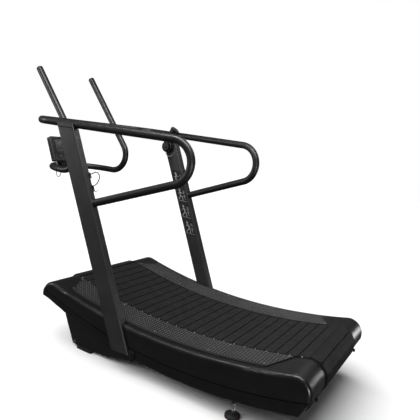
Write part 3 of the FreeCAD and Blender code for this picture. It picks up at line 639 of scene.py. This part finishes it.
def surface_normal(x):
    """Upward normal of the walking surface at x."""
    lean = math.atan2(x, TREAD_CZ - tread_z(x))
    return Vector((-math.sin(lean), 0, math.cos(lean)))


def pad_screws():
    """Socket screws that hold the pads: dark rims that stand a little proud, and sockets painted light grey as
    a painted glint.
    """
    rims, sockets = Shape(), Shape()
    for x, y in PAD_SCREWS:
        for side in (-1, 1):
            foot = deck(x, side * y, tread_z(x, PAD_DROP))
            up = surface_normal(x)
            rims.lathe(SCREW_RIM, foot, up, 20)
            sockets.lathe(SCREW_SOCKET, foot, up, 6)
    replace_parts(rims.build("pad_screw_rims", DARK_ZINC, "bright_steel"), "pad_screws")
    sockets.build("pad_screw_sockets", PAINTED_HIGHLIGHT, "bright_steel")


def slat_end_bolts():
    """Bolt heads on the ends of the upper slats, in the gap beside the pads, painted light grey as painted
    glints.
    """
    shape = Shape()
    count = int(2 * ROLLER_X / SLAT_PITCH)
    for index in range(count):
        x = (index - (count - 1) / 2) * SLAT_PITCH + BOLT_SHIFT
        for side in (-1, 1):
            centre = deck(x, side * SLAT_EDGE, tread_z(x, BOLT_DROP))
            shape.lathe(SLAT_BOLT, centre, RIGHT * side, 8)
    shape.build("slat_end_bolts", PAINTED_HIGHLIGHT, "bright_steel")


COVER_EDGE_Y = 239.5
LIP_R = 0.0017
LIP_END = 18.0
NOSE_STEPS = 16
TOP_STEPS = 60
TOP_GAP = 30


def cover_edge_path(y, depth):
    """Line along the cover's upper surface from nose to rear wrap, `depth` below the tread."""
    radius = COVER_NOSE + COVER_DROP - depth
    lean = math.degrees(math.asin(ROLLER_X / (TREAD_R + COVER_NOSE + COVER_DROP)))

    def wrap(roller_x, start):
        path = []
        for k in range(NOSE_STEPS + 1):
            angle = math.radians(start + (LIP_END - 90 - lean) * k / NOSE_STEPS)
            path.append(deck(roller_x + radius * math.cos(angle), y, ROLLER_Z + radius * math.sin(angle)))
        return path
    top = []
    for k in range(1, TOP_STEPS):
        x = -ROLLER_X + TOP_GAP + (2 * ROLLER_X - 2 * TOP_GAP) * k / TOP_STEPS
        top.append(deck(x, y, tread_z(x, depth)))
    return wrap(-ROLLER_X, 180 - LIP_END) + top + wrap(ROLLER_X, 90 + lean)


def cover_lips():
    """Rolled lip along the covers' inner edge, beside the slats."""
    for side, sign in SIDES:
        shape = Shape()
        shape.tube(cover_edge_path(sign * COVER_EDGE_Y, COVER_DROP), LIP_R, 8)
        shape.build("cover_lip_" + side, COVER, "cover_plastic")


# ---- Push bar and welds ----------------------------------------------------------------------------

RAIL_R = 19.0
RAIL_Z = 1121.0
RAIL_FRONT_X = -870.0
RAIL_FRONT_Y = 459.9
RAIL_TOE = 0.137
RAIL_FOOT = (-436.0, 421.0, 765.0)
RAIL_LOOP_X = 25.5
RAIL_LOOP_Z = 944.6
PUSH_R = 18.0
PUSH_LEAN = 0.846
PUSH_TIP_X = -1140.5
PUSH_TIP_Z = 1395.0
PUSH_Y = 204.0
PUSH_FRONT_X = -1099.6
PUSH_FRONT_Z = 855.0
PUSH_BENDS = (0.0986, 0.2, 0.2, 0.0986)
UPRIGHT_LEAN = 0.461
UPRIGHT_SPLAY = 0.013
UPRIGHT_TOE = math.radians(5.2)
UPRIGHT_REF = (-501.5, 451.4, 700.0)
UPRIGHT_X = 98.0
UPRIGHT_Y = 44.0
LINE_STEPS = 48
HANDLE_BEAD = 0.0026
RAIL_FOOT_BEAD = 0.0027
RAIL_TOP_BEAD = 0.0024
TOP_BEAD_DROP = 17.5
TOP_BEAD_INSET = 4


def upright_point(z, along, inward, sign):
    """Point on an upright: along from its front edge, inward from its outer face, in millimetres."""
    x, y, reference = UPRIGHT_REF
    cosine, sine = math.cos(UPRIGHT_TOE), math.sin(UPRIGHT_TOE)
    px = x - UPRIGHT_LEAN * (z - reference) + along * cosine - inward * sine
    py = y + UPRIGHT_SPLAY * (z - reference) - along * sine - inward * cosine
    return deck(px, sign * py, z)


def bead(path, size, seed):
    """Weld bead: a closed tube whose ripples vary a little."""
    wobble = random.Random(seed)
    radii = [size * (1 + 0.18 * math.sin(k * 1.9) + wobble.uniform(-0.07, 0.07)) for k in range(len(path))]
    shape = Shape()
    shape.tube(path, radii, 8, closed=True)
    return shape


def meeting_line(base, axis, radius, centre, cross_radius, upper):
    """Where a tube about `base` along `axis` enters a tube along Y through `centre`."""
    other = axis.cross(RIGHT).normalized()
    line = []
    for start in circle(base, radius, RIGHT, other, LINE_STEPS):
        a = axis.x ** 2 + axis.z ** 2
        b = 2 * ((start.x - centre.x) * axis.x + (start.z - centre.z) * axis.z)
        c = (start.x - centre.x) ** 2 + (start.z - centre.z) ** 2 - cross_radius ** 2
        root = math.sqrt(max(b * b - 4 * a * c, 0.0))
        line.append(start + axis * ((-b + root) / (2 * a) if upper else (-b - root) / (2 * a)))
    return line


def rounded_path(points, radii):
    """Polyline through points with each inner corner rounded to its radius."""
    path = [points[0]]
    for before, corner, after, radius in zip(points, points[1:], points[2:], radii):
        back, ahead = (before - corner).normalized(), (after - corner).normalized()
        half = back.angle(ahead) / 2
        centre = corner + (back + ahead).normalized() * radius / math.sin(half)
        start = corner + back * radius / math.tan(half) - centre
        end = corner + ahead * radius / math.tan(half) - centre
        axis = start.cross(end).normalized()
        path += [centre + Matrix.Rotation(start.angle(end) * k / 20, 3, axis) @ start for k in range(21)]
    path.append(points[-1])
    return path


def push_bar():
    """Bent push bar with its two handles."""
    low_x = PUSH_TIP_X + PUSH_LEAN * (PUSH_TIP_Z - PUSH_FRONT_Z)
    half = [(PUSH_TIP_X, PUSH_TIP_Z), (low_x, PUSH_FRONT_Z), (PUSH_FRONT_X, PUSH_FRONT_Z)]
    corners = [deck(x, PUSH_Y, z) for x, z in half] + [deck(x, -PUSH_Y, z) for x, z in reversed(half)]
    shape = Shape()
    shape.tube(rounded_path(corners, PUSH_BENDS), PUSH_R * MM, 40)
    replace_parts(shape.build("push_bar_tube", TUBE, "tube_paint"), "push_bar")


def weld_handles():
    """Beads where the push bar's handles pass the front crossbar."""
    axis = Vector((-PUSH_LEAN, 0, 1)).normalized()
    centre = deck(RAIL_FRONT_X, 0, RAIL_Z)
    for side, sign in SIDES:
        tip = deck(PUSH_TIP_X, sign * PUSH_Y, PUSH_TIP_Z)
        for place, upper in (("upper", True), ("lower", False)):
            line = meeting_line(tip, axis, PUSH_R * MM, centre, RAIL_R * MM, upper)
            shape = bead(line, HANDLE_BEAD, 3 + sign)
            shape.build("handle_weld_%s_%s" % (place, side), TUBE, "tube_paint")


def weld_rail_feet():
    """Beads where the handrails' lower runs meet the uprights' rear faces."""
    foot_x, foot_y, foot_z = RAIL_FOOT
    loop_y = RAIL_FRONT_Y - RAIL_TOE * (RAIL_LOOP_X - RAIL_FRONT_X)
    for side, sign in SIDES:
        low = deck(foot_x, sign * foot_y, foot_z)
        high = deck(RAIL_LOOP_X, sign * loop_y, RAIL_LOOP_Z)
        axis = (high - low).normalized()
        corner = upright_point(foot_z, UPRIGHT_X, 0, sign)
        across = upright_point(foot_z, UPRIGHT_X, UPRIGHT_Y, sign) - corner
        lift = upright_point(foot_z + 100, UPRIGHT_X, 0, sign) - corner
        normal = across.cross(lift).normalized()
        side_axis = axis.orthogonal().normalized()
        line = []
        for start in circle(low, RAIL_R * MM, side_axis, axis.cross(side_axis), LINE_STEPS):
            line.append(start + axis * ((corner - start).dot(normal) / axis.dot(normal)))
        bead(line, RAIL_FOOT_BEAD, 11 + sign).build("rail_foot_weld_" + side, TUBE, "tube_paint")


def weld_rail_tops():
    """Beads along both faces of each upright where the handrail lies on its top."""
    top_z = RAIL_Z - TOP_BEAD_DROP
    for side, sign in SIDES:
        for face, inward in (("outer", 0.0), ("inner", UPRIGHT_Y)):
            start = upright_point(top_z, TOP_BEAD_INSET, inward, sign)
            end = upright_point(top_z, UPRIGHT_X - TOP_BEAD_INSET, inward, sign)
            path = [start.lerp(end, k / 30) for k in range(31)]
            radii = [RAIL_TOP_BEAD * (1 + 0.2 * math.sin(k * 1.7)) for k in range(31)]
            shape = Shape()
            shape.tube(path, radii, 8)
            shape.build("rail_top_weld_%s_%s" % (face, side), TUBE, "tube_paint")


# ---- Sticker on the right upright ------------------------------------------------------------------

STICKER_TOP = 905.0
STICKER_BOTTOM = 520.0
STICKER_FRONT = 9
STICKER_REAR = 89
STICKER_GAP = 0.3
STICKER_T = 0.0003
INK_T = 0.0002


def draw_runner(stroke, spot, x, y, index):
    """Generic runner whose lean and stride change a little from cell to cell."""
    shoulder = (x, y + 0.060)
    hip = (x - 0.006 * (index - 1.5), y + 0.036)
    front_knee = (x + 0.014, y + 0.024 + 0.003 * index)
    rear_knee = (x - 0.012, y + 0.022)
    spot((x, y + 0.074), 0.0072)
    stroke((x, y + 0.064), hip, 0.007)
    stroke(shoulder, (x + 0.016, y + 0.048 + 0.003 * index), 0.004)
    stroke(shoulder, (x - 0.014, y + 0.050), 0.004)
    stroke(hip, front_knee, 0.005)
    stroke(front_knee, (x + 0.009, y + 0.008), 0.004)
    stroke(hip, rear_knee, 0.005)
    stroke(rear_knee, (x - 0.020, y + 0.008 + 0.002 * index), 0.004)


def draw_arrow(stroke, x, y):
    """Upward arrow at x in the cell whose foot is at y."""
    head = (x, y + 0.044)
    stroke((x, y + 0.016), head, 0.003)
    stroke(head, (x - 0.006, y + 0.037), 0.003)
    stroke(head, (x + 0.006, y + 0.037), 0.003)


def sticker():
    """Dark panel with four position cells: a generic runner, an arrow and the position's number."""
    face = UPRIGHT_Y + STICKER_GAP
    origin = upright_point(STICKER_BOTTOM, STICKER_FRONT, face, 1)
    right = upright_point(STICKER_BOTTOM, STICKER_REAR, face, 1) - origin
    up = upright_point(STICKER_TOP, STICKER_FRONT, face, 1) - origin
    width, height = right.length, up.length
    right_axis, up_axis = right.normalized(), up.normalized()
    base = Shape()
    base.slab([(0, 0), (width, 0), (width, height), (0, height)], STICKER_T, origin, right_axis, up_axis)
    base.build("sticker_panel", STICKER, "screen_plastic", smooth=False)
    ink = Shape()
    ink_origin = origin - RIGHT * STICKER_T

    def stroke(start, end, thick):
        ink.slab(bar(start, end, thick), INK_T, ink_origin, right_axis, up_axis)

    def spot(place, radius):
        ink.slab(disc(place, radius), INK_T, ink_origin, right_axis, up_axis)
    for index in range(4):
        y = index * height / 4 + 0.008
        draw_runner(stroke, spot, width * 0.42, y, index)
        stroke((0.006, y + 0.003), (width - 0.006, y + 0.003), 0.0022)
        arrow_x = width * 0.80
        draw_arrow(stroke, arrow_x, y)
        digit_strokes(str(4 - index), (arrow_x - 0.005, y + 0.054), 0.010, 0.018, 0.0026, stroke)
    ink.build("sticker_pictograms", INK, "bright_steel", smooth=False)


# ---- Console ---------------------------------------------------------------------------------------

CONSOLE_FOOT = (-1056.0, 0.0, 886.0)
CONSOLE_TILT = math.radians(24.0)
CONSOLE_T = 30.0
SIDE_RIB_X = -26.0
SIDE_RIB_Y = 115.4
SIDE_RIB_ENDS = (10, 138)
SIDE_RIB_PITCH = 4.5
SIDE_RIB_R = 0.0011
VENT_X = -30.4
VENT_Y = 80
VENT_Z = 30.0
VENT_PITCH = 11
VENT_R = 0.0013
BEZEL_R = 0.0016
READINGS = (("12", 0.018), ("345", 0.066), ("60", 0.126))
CONSOLE_SCREW = ((0.0032, 0.0), (0.0032, 0.0008), (0.0026, 0.0012), (0.0012, 0.0012), (0.001, 0.0006),
                 (0.0, 0.0006))
BUTTON_YS = (-66, -22, 22, 66)
BUTTON_Z = 26
SIGN_T = 0.00025
SIGN_LINE = 0.0016


def console_point(x, y, z):
    """Point in the console's own frame: x out of its face, z up along it, in millimetres."""
    cosine, sine = math.cos(CONSOLE_TILT), math.sin(CONSOLE_TILT)
    fx, fy, fz = CONSOLE_FOOT
    return deck(fx + x * cosine - z * sine, fy + y, fz + x * sine + z * cosine)


CONSOLE_OUT = (console_point(1, 0, 0) - console_point(0, 0, 0)).normalized()
CONSOLE_UP = (console_point(0, 0, 1) - console_point(0, 0, 0)).normalized()


def console_ribs():
    """Ribs down the console's sides and vent bars across its back."""
    ribs = Shape()
    for side in (-1, 1):
        for row in range(5):
            x = SIDE_RIB_X + row * SIDE_RIB_PITCH
            start, end = (console_point(x, side * SIDE_RIB_Y, z) for z in SIDE_RIB_ENDS)
            ribs.tube([start, start.lerp(end, 0.5), end], SIDE_RIB_R, 8)
    ribs.build("console_side_ribs", CONSOLE, "console_plastic")
    vents = Shape()
    for row in range(9):
        z = VENT_Z + row * VENT_PITCH
        vents.tube([console_point(VENT_X, y, z) for y in (-VENT_Y, 0, VENT_Y)], VENT_R, 8)
    vents.build("console_back_vents", CONSOLE, "console_plastic")


def console_bezel():
    """Rounded frame round the screen."""
    bezel = Shape()
    centre = console_point(-0.3, 0, 91)
    loop = [centre + RIGHT * x + CONSOLE_UP * y for x, y in rounded_rectangle(0.176, 0.090, 0.008)]
    bezel.tube(loop, BEZEL_R, 8, closed=True)
    bezel.build("console_bezel", CONSOLE, "console_plastic")


def screen_digits():
    """Generic numbers, a line under them and a bar chart on the screen."""
    marks = Shape()
    corner = console_point(-0.9, -83.5, 50.5)

    def stroke(start, end, thick):
        marks.slab(bar(start, end, thick), INK_T, corner, RIGHT, CONSOLE_UP)
    for text, x in READINGS:
        digit_strokes(text, (x, 0.044), 0.011, 0.022, 0.0026, stroke)
    stroke((0.012, 0.034), (0.155, 0.034), 0.001)
    for k in range(9):
        x = 0.020 + k * 0.015
        level = 0.004 + 0.0022 * (4 - abs(4 - k))
        stroke((x, 0.010), (x, 0.010 + level), 0.006)
    marks.build("screen_digits", GLOW, "screen_plastic", smooth=False)


def console_screws():
    """Four dished screws in the housing's back."""
    screws = Shape()
    for y in (-103, 103):
        for z in (12, 136):
            screws.lathe(CONSOLE_SCREW, console_point(-CONSOLE_T, y, z), -CONSOLE_OUT, 14)
    screws.build("console_screws", DARK_ZINC, "bright_steel")


def button_signs():
    """A generic sign on each button: square, triangle, minus and plus."""
    minus = bar((-0.0035, 0), (0.0035, 0), SIGN_LINE)
    upright = bar((0, -0.0035), (0, 0.0035), SIGN_LINE)
    square = [(-0.003, -0.003), (0.003, -0.003), (0.003, 0.003), (-0.003, 0.003)]
    triangle = [(-0.0025, -0.0035), (0.004, 0.0), (-0.0025, 0.0035)]
    signs = ((square,), (triangle,), (minus,), (minus, upright))
    for number, (y, outlines) in enumerate(zip(BUTTON_YS, signs), start=1):
        shape = Shape()
        for outline in outlines:
            shape.slab(outline, SIGN_T, console_point(2.5, y, BUTTON_Z), RIGHT, CONSOLE_UP)
        shape.build("button_sign_%d" % number, INK, "button_rubber", body="button_%d" % number, smooth=False)


# ---- Lever -----------------------------------------------------------------------------------------

LEVER_HUB_X = -630.0
LEVER_HUB_Z = 1043.0
LEVER_FACE_Y = 388
LEVER_CAP_Y = 373
LEVER_Y = 380
LEVER_ANGLE = math.radians(19.0)
GRIP_Z = 120.0
GRIP_DROOP = -0.0022
GRIP_RISE = 1.5
MOULDING_X = 22
MOULDING_DROP = 22
MOULDING_R = 38
MOULDING_GAP = 0.6
LEVER_BOLT_CIRCLE = 28.5
RIB_XS = (-2, 6, 14, 22, 30)
RIB_HALF_Z = 12.2
RIB_HALF_Y = 11.6
RIB_R = 0.001
LEVER_RING = ((0.0338, 0.0), (0.0338, 0.0014), (0.0318, 0.0024), (0.0296, 0.0024), (0.0284, 0.001),
              (0.0284, 0.0))
LEVER_BOLT = ((0.0, 0.0), (0.0026, 0.0), (0.0026, 0.0018), (0.0014, 0.0022), (0.0, 0.0016))
LEVER_CAP = ((0.0, 0.0), (0.0085, 0.0), (0.0085, 0.002), (0.0065, 0.0042), (0.004, 0.0042),
             (0.0036, 0.003), (0.0, 0.003))
# x along the grip, half height, half width
GRIP_SECTIONS = ((-13, 5, 4.5), (-11, 8.5, 8), (-5, 11, 10.5), (4, 12.2, 11.5), (15, 12.6, 11.5),
                 (26, 11.4, 10.4), (36, 10.2, 9.6), (43, 10.6, 10.2), (45.5, 8.5, 8.2), (46.5, 4.5, 4.2))
# height on the arm, half length, half width
COLLAR_SECTIONS = ((88, 10.5, 9), (90, 12, 10), (104, 12, 10), (112, 13, 10.5), (116, 11, 9))


def lever_point(x, y, z):
    """Point in the lever's frame: z along the arm, x to the rear of it, y absolute, in millimetres."""
    cosine, sine = math.cos(LEVER_ANGLE), math.sin(LEVER_ANGLE)
    return deck(LEVER_HUB_X + x * cosine + z * sine, y, LEVER_HUB_Z - x * sine + z * cosine)


def lever_hub():
    """Ring, three bolts and hexagonal cap on the lever's round housing."""
    ring = Shape()
    ring.lathe(LEVER_RING, lever_point(0, LEVER_FACE_Y, 0), -RIGHT, 40)
    ring.build("lever_ring", CONSOLE, "console_plastic")
    bolts = Shape()
    for k in range(3):
        angle = math.radians(90 + 120 * k)
        x, z = LEVER_BOLT_CIRCLE * math.cos(angle), LEVER_BOLT_CIRCLE * math.sin(angle)
        place = lever_point(x, LEVER_FACE_Y, z)
        bolts.lathe(LEVER_BOLT, place, -RIGHT, 12)
    # The lever bolts are painted light grey as painted glints.
    bolts.build("lever_bolts", PAINTED_HIGHLIGHT, "bright_steel")
    cap = Shape()
    cap.lathe(LEVER_CAP, lever_point(0, LEVER_CAP_Y, 0), -RIGHT, 6)
    cap.build("lever_cap", CONSOLE, "console_plastic")


def lever_moulding():
    """Thin moulded arc on the upright's inner face, below the housing, painted light grey as a painted
    highlight along it.
    """
    path = []
    for k in range(25):
        angle = math.radians(195 + 150 * k / 24)
        z = LEVER_HUB_Z - MOULDING_DROP + MOULDING_R * math.sin(angle)
        front = UPRIGHT_REF[0] - UPRIGHT_LEAN * (z - UPRIGHT_REF[2])
        along = LEVER_HUB_X + MOULDING_X + MOULDING_R * math.cos(angle) - front
        path.append(upright_point(z, along, UPRIGHT_Y + MOULDING_GAP, 1))
    radii = [0.0024 * math.sin(math.pi * (k + 1.5) / 27) + 0.0006 for k in range(25)]
    moulding = Shape()
    moulding.tube(path, radii, 10)
    moulding.build("lever_moulding", PAINTED_HIGHLIGHT, "console_plastic")


def grip_ring(x, half_z, half_y):
    """Oval section of the drooping grip at x."""
    middle = GRIP_Z + GRIP_DROOP * max(x, 0) ** 2 + GRIP_RISE
    angles = [2 * math.pi * k / 24 for k in range(24)]
    return [lever_point(x, LEVER_Y + half_y * math.cos(a), middle + half_z * math.sin(a)) for a in angles]


def lever_grip():
    """Moulded grip with the collar it stands on, and the ribs round it."""
    grip = Shape()
    grip.rings([grip_ring(*section) for section in GRIP_SECTIONS])
    collar = []
    for z, half_x, half_y in COLLAR_SECTIONS:
        outline = rounded_rectangle(2 * half_x, 2 * half_y, 5)
        collar.append([lever_point(x, LEVER_Y + y, z) for x, y in outline])
    grip.rings(collar)
    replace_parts(grip.build("lever_grip", RUBBER, "console_plastic", body="lever"), "lever_knob")
    ribs = Shape()
    for x in RIB_XS:
        ribs.tube(grip_ring(x, RIB_HALF_Z, RIB_HALF_Y), RIB_R, 6, closed=True)
    ribs.build("lever_grip_ribs", RUBBER, "console_plastic", body="lever")


# ---- Feet, wheels, clips and bolts -----------------------------------------------------------------

FOOT_X = 415.0
FOOT_Y = 382.0
FOOT_RUBBER = ((0.0, 0.0), (0.0315, 0.0), (0.0335, 0.0016), (0.034, 0.004), (0.034, 0.0075),
               (0.0328, 0.009), (0.0328, 0.0105), (0.0338, 0.0118), (0.0334, 0.0135), (0.031, 0.0148),
               (0.0245, 0.0158), (0.0185, 0.0188), (0.014, 0.0225), (0.0112, 0.023), (0.0, 0.023))
FOOT_NUT = ((0.0, 0.021), (0.0105, 0.021), (0.0105, 0.029), (0.0092, 0.030), (0.0, 0.030))
THREAD_CREST = 0.006
THREAD_ROOT = 0.0052
THREAD_START = 0.029
THREAD_STEP = 0.0009
THREAD_RINGS = 101
STUD_TOP = 0.1199
WHEEL_CENTRE = (-508.0, 378.0, 25.0)
WHEEL_HUB = ((0.0062, 0.0), (0.013, 0.0), (0.013, 0.0012), (0.011, 0.0022), (0.0075, 0.0022),
             (0.0062, 0.0012))
HUB_PIN_CIRCLE = 0.0165
HUB_PIN = ((0.0, 0.0), (0.0024, 0.0), (0.002, 0.0012), (0.0, 0.0012))
CLIP_SCREW = ((0.0, 0.0), (0.0034, 0.0), (0.0034, 0.0014), (0.0022, 0.0026), (0.0, 0.0022))
CLIP_HEIGHTS = (889.0, 831.0)
CLIP_GAP = 1.2
CLIP_INWARD = 40
TIE_HEIGHT = 820
TIE_GAP = 0.5
TIE_INWARD = 38
UPRIGHT_BOLTS = ((-113, 434, 89), (-113, 434, 111))
TENSION_BOLT = (737, 306, 178)
UPRIGHT_SOCKET = ((0.0035, 0.0), (0.0042, 0.0), (0.004, 0.0007), (0.0034, 0.0007), (0.003, 0.0002),
                  (0.0, 0.0002))
TENSION_SOCKET = ((0.005, 0.0), (0.0062, 0.0), (0.0058, 0.001), (0.005, 0.001), (0.0042, 0.0003),
                  (0.0, 0.0003))


def rear_feet():
    """Rubber foot with a nut and a threaded stud on it, on each side."""
    thread = [(THREAD_CREST if k % 2 else THREAD_ROOT, THREAD_START + THREAD_STEP * k)
              for k in range(THREAD_RINGS)]
    stud_profile = [(0.0, 0.028)] + thread + [(0.0, STUD_TOP)]
    for side, sign in SIDES:
        foot = deck(FOOT_X, sign * FOOT_Y, 0)
        body = "foot_" + side
        pad = Shape()
        pad.lathe(FOOT_RUBBER, foot, UP, 48)
        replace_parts(pad.build("foot_rubber_" + side, RUBBER, "black_rubber", body=body), "rear_foot_" + side)
        stud = Shape()
        stud.lathe(FOOT_NUT, foot, UP, 6)
        stud.lathe(stud_profile, foot, UP, 20)
        stud.build("foot_stud_" + side, CHROME, "bright_steel", body=body)


def wheel_hubs():
    """Hub ring with five pins on each transport wheel's outer side."""
    x, y, z = WHEEL_CENTRE
    for side, sign in SIDES:
        shape = Shape()
        centre = deck(x, sign * y, z)
        shape.lathe(WHEEL_HUB, centre, RIGHT * sign, 28)
        for place in circle(centre, HUB_PIN_CIRCLE, REAR, UP, 5):
            shape.lathe(HUB_PIN, place, RIGHT * sign, 12)
        shape.build("wheel_hub_" + side, CONSOLE, "console_plastic", body="wheel_" + side)


def cable_clips():
    """Two P-clips with screws and a cable tie on the left upright's rear face."""
    clips, nubs = Shape(), Shape()
    for z in CLIP_HEIGHTS:
        centre = upright_point(z, UPRIGHT_X + CLIP_GAP, CLIP_INWARD, -1)
        low, high = (upright_point(height, UPRIGHT_X, CLIP_INWARD, -1) for height in (z, z + 10))
        along = (high - low).normalized()
        across = along.cross(REAR).normalized()
        strap = rounded_rectangle(0.014, 0.030, 0.004)
        clips.slab(strap, 0.0022, centre - REAR * 0.001, across, along, 0.0005)
        loop = circle(centre + along * 0.006 + REAR * 0.003, 0.0036, REAR, across, 20)
        clips.tube(loop, 0.0013, 8, closed=True)
        nubs.lathe(CLIP_SCREW, centre - along * 0.008 + REAR * 0.001, REAR, 14)
    clips.build("cable_clips", RUBBER, "black_rubber")
    # The clip screws are painted light grey as painted glints.
    nubs.build("clip_screws", PAINTED_HIGHLIGHT, "bright_steel")
    tie = Shape()
    foot = upright_point(TIE_HEIGHT, UPRIGHT_X + TIE_GAP, TIE_INWARD, -1)
    tail = ((0, 0, 0), (0.010, -0.001, -0.001), (0.019, -0.002, -0.001), (0.026, -0.002, 0.003),
            (0.029, -0.002, 0.009))
    head = ((0, 0, -0.003), (0.004, 0, 0.001), (0.001, 0, 0.005))
    tie.tube([foot + Vector(step) for step in tail], [0.0024, 0.0017, 0.0014, 0.0013, 0.001], 8)
    tie.tube([foot + Vector(step) for step in head], 0.0026, 8)
    tie.build("cable_tie", RUBBER, "black_rubber")


def bolt_sockets():
    """Rims round the recesses of the upright bolts and the belt tension bolts."""
    shape = Shape()
    for sign in (-1, 1):
        for x, y, z in UPRIGHT_BOLTS:
            shape.lathe(UPRIGHT_SOCKET, deck(x, sign * y, z), RIGHT * sign, 18)
        x, y, z = TENSION_BOLT
        shape.lathe(TENSION_SOCKET, deck(x, sign * y, z), REAR, 18)
    shape.build("bolt_sockets", DARK_ZINC, "bright_steel")


make_camera()
make_world()
make_lights()
make_floor()
paint_nodes()
make_cords()
make_pads()
pad_screws()
slat_end_bolts()
cover_lips()
push_bar()
weld_handles()
weld_rail_feet()
weld_rail_tops()
sticker()
console_ribs()
console_bezel()
screen_digits()
console_screws()
button_signs()
lever_hub()
lever_moulding()
lever_grip()
rear_feet()
wheel_hubs()
cable_clips()
bolt_sockets()
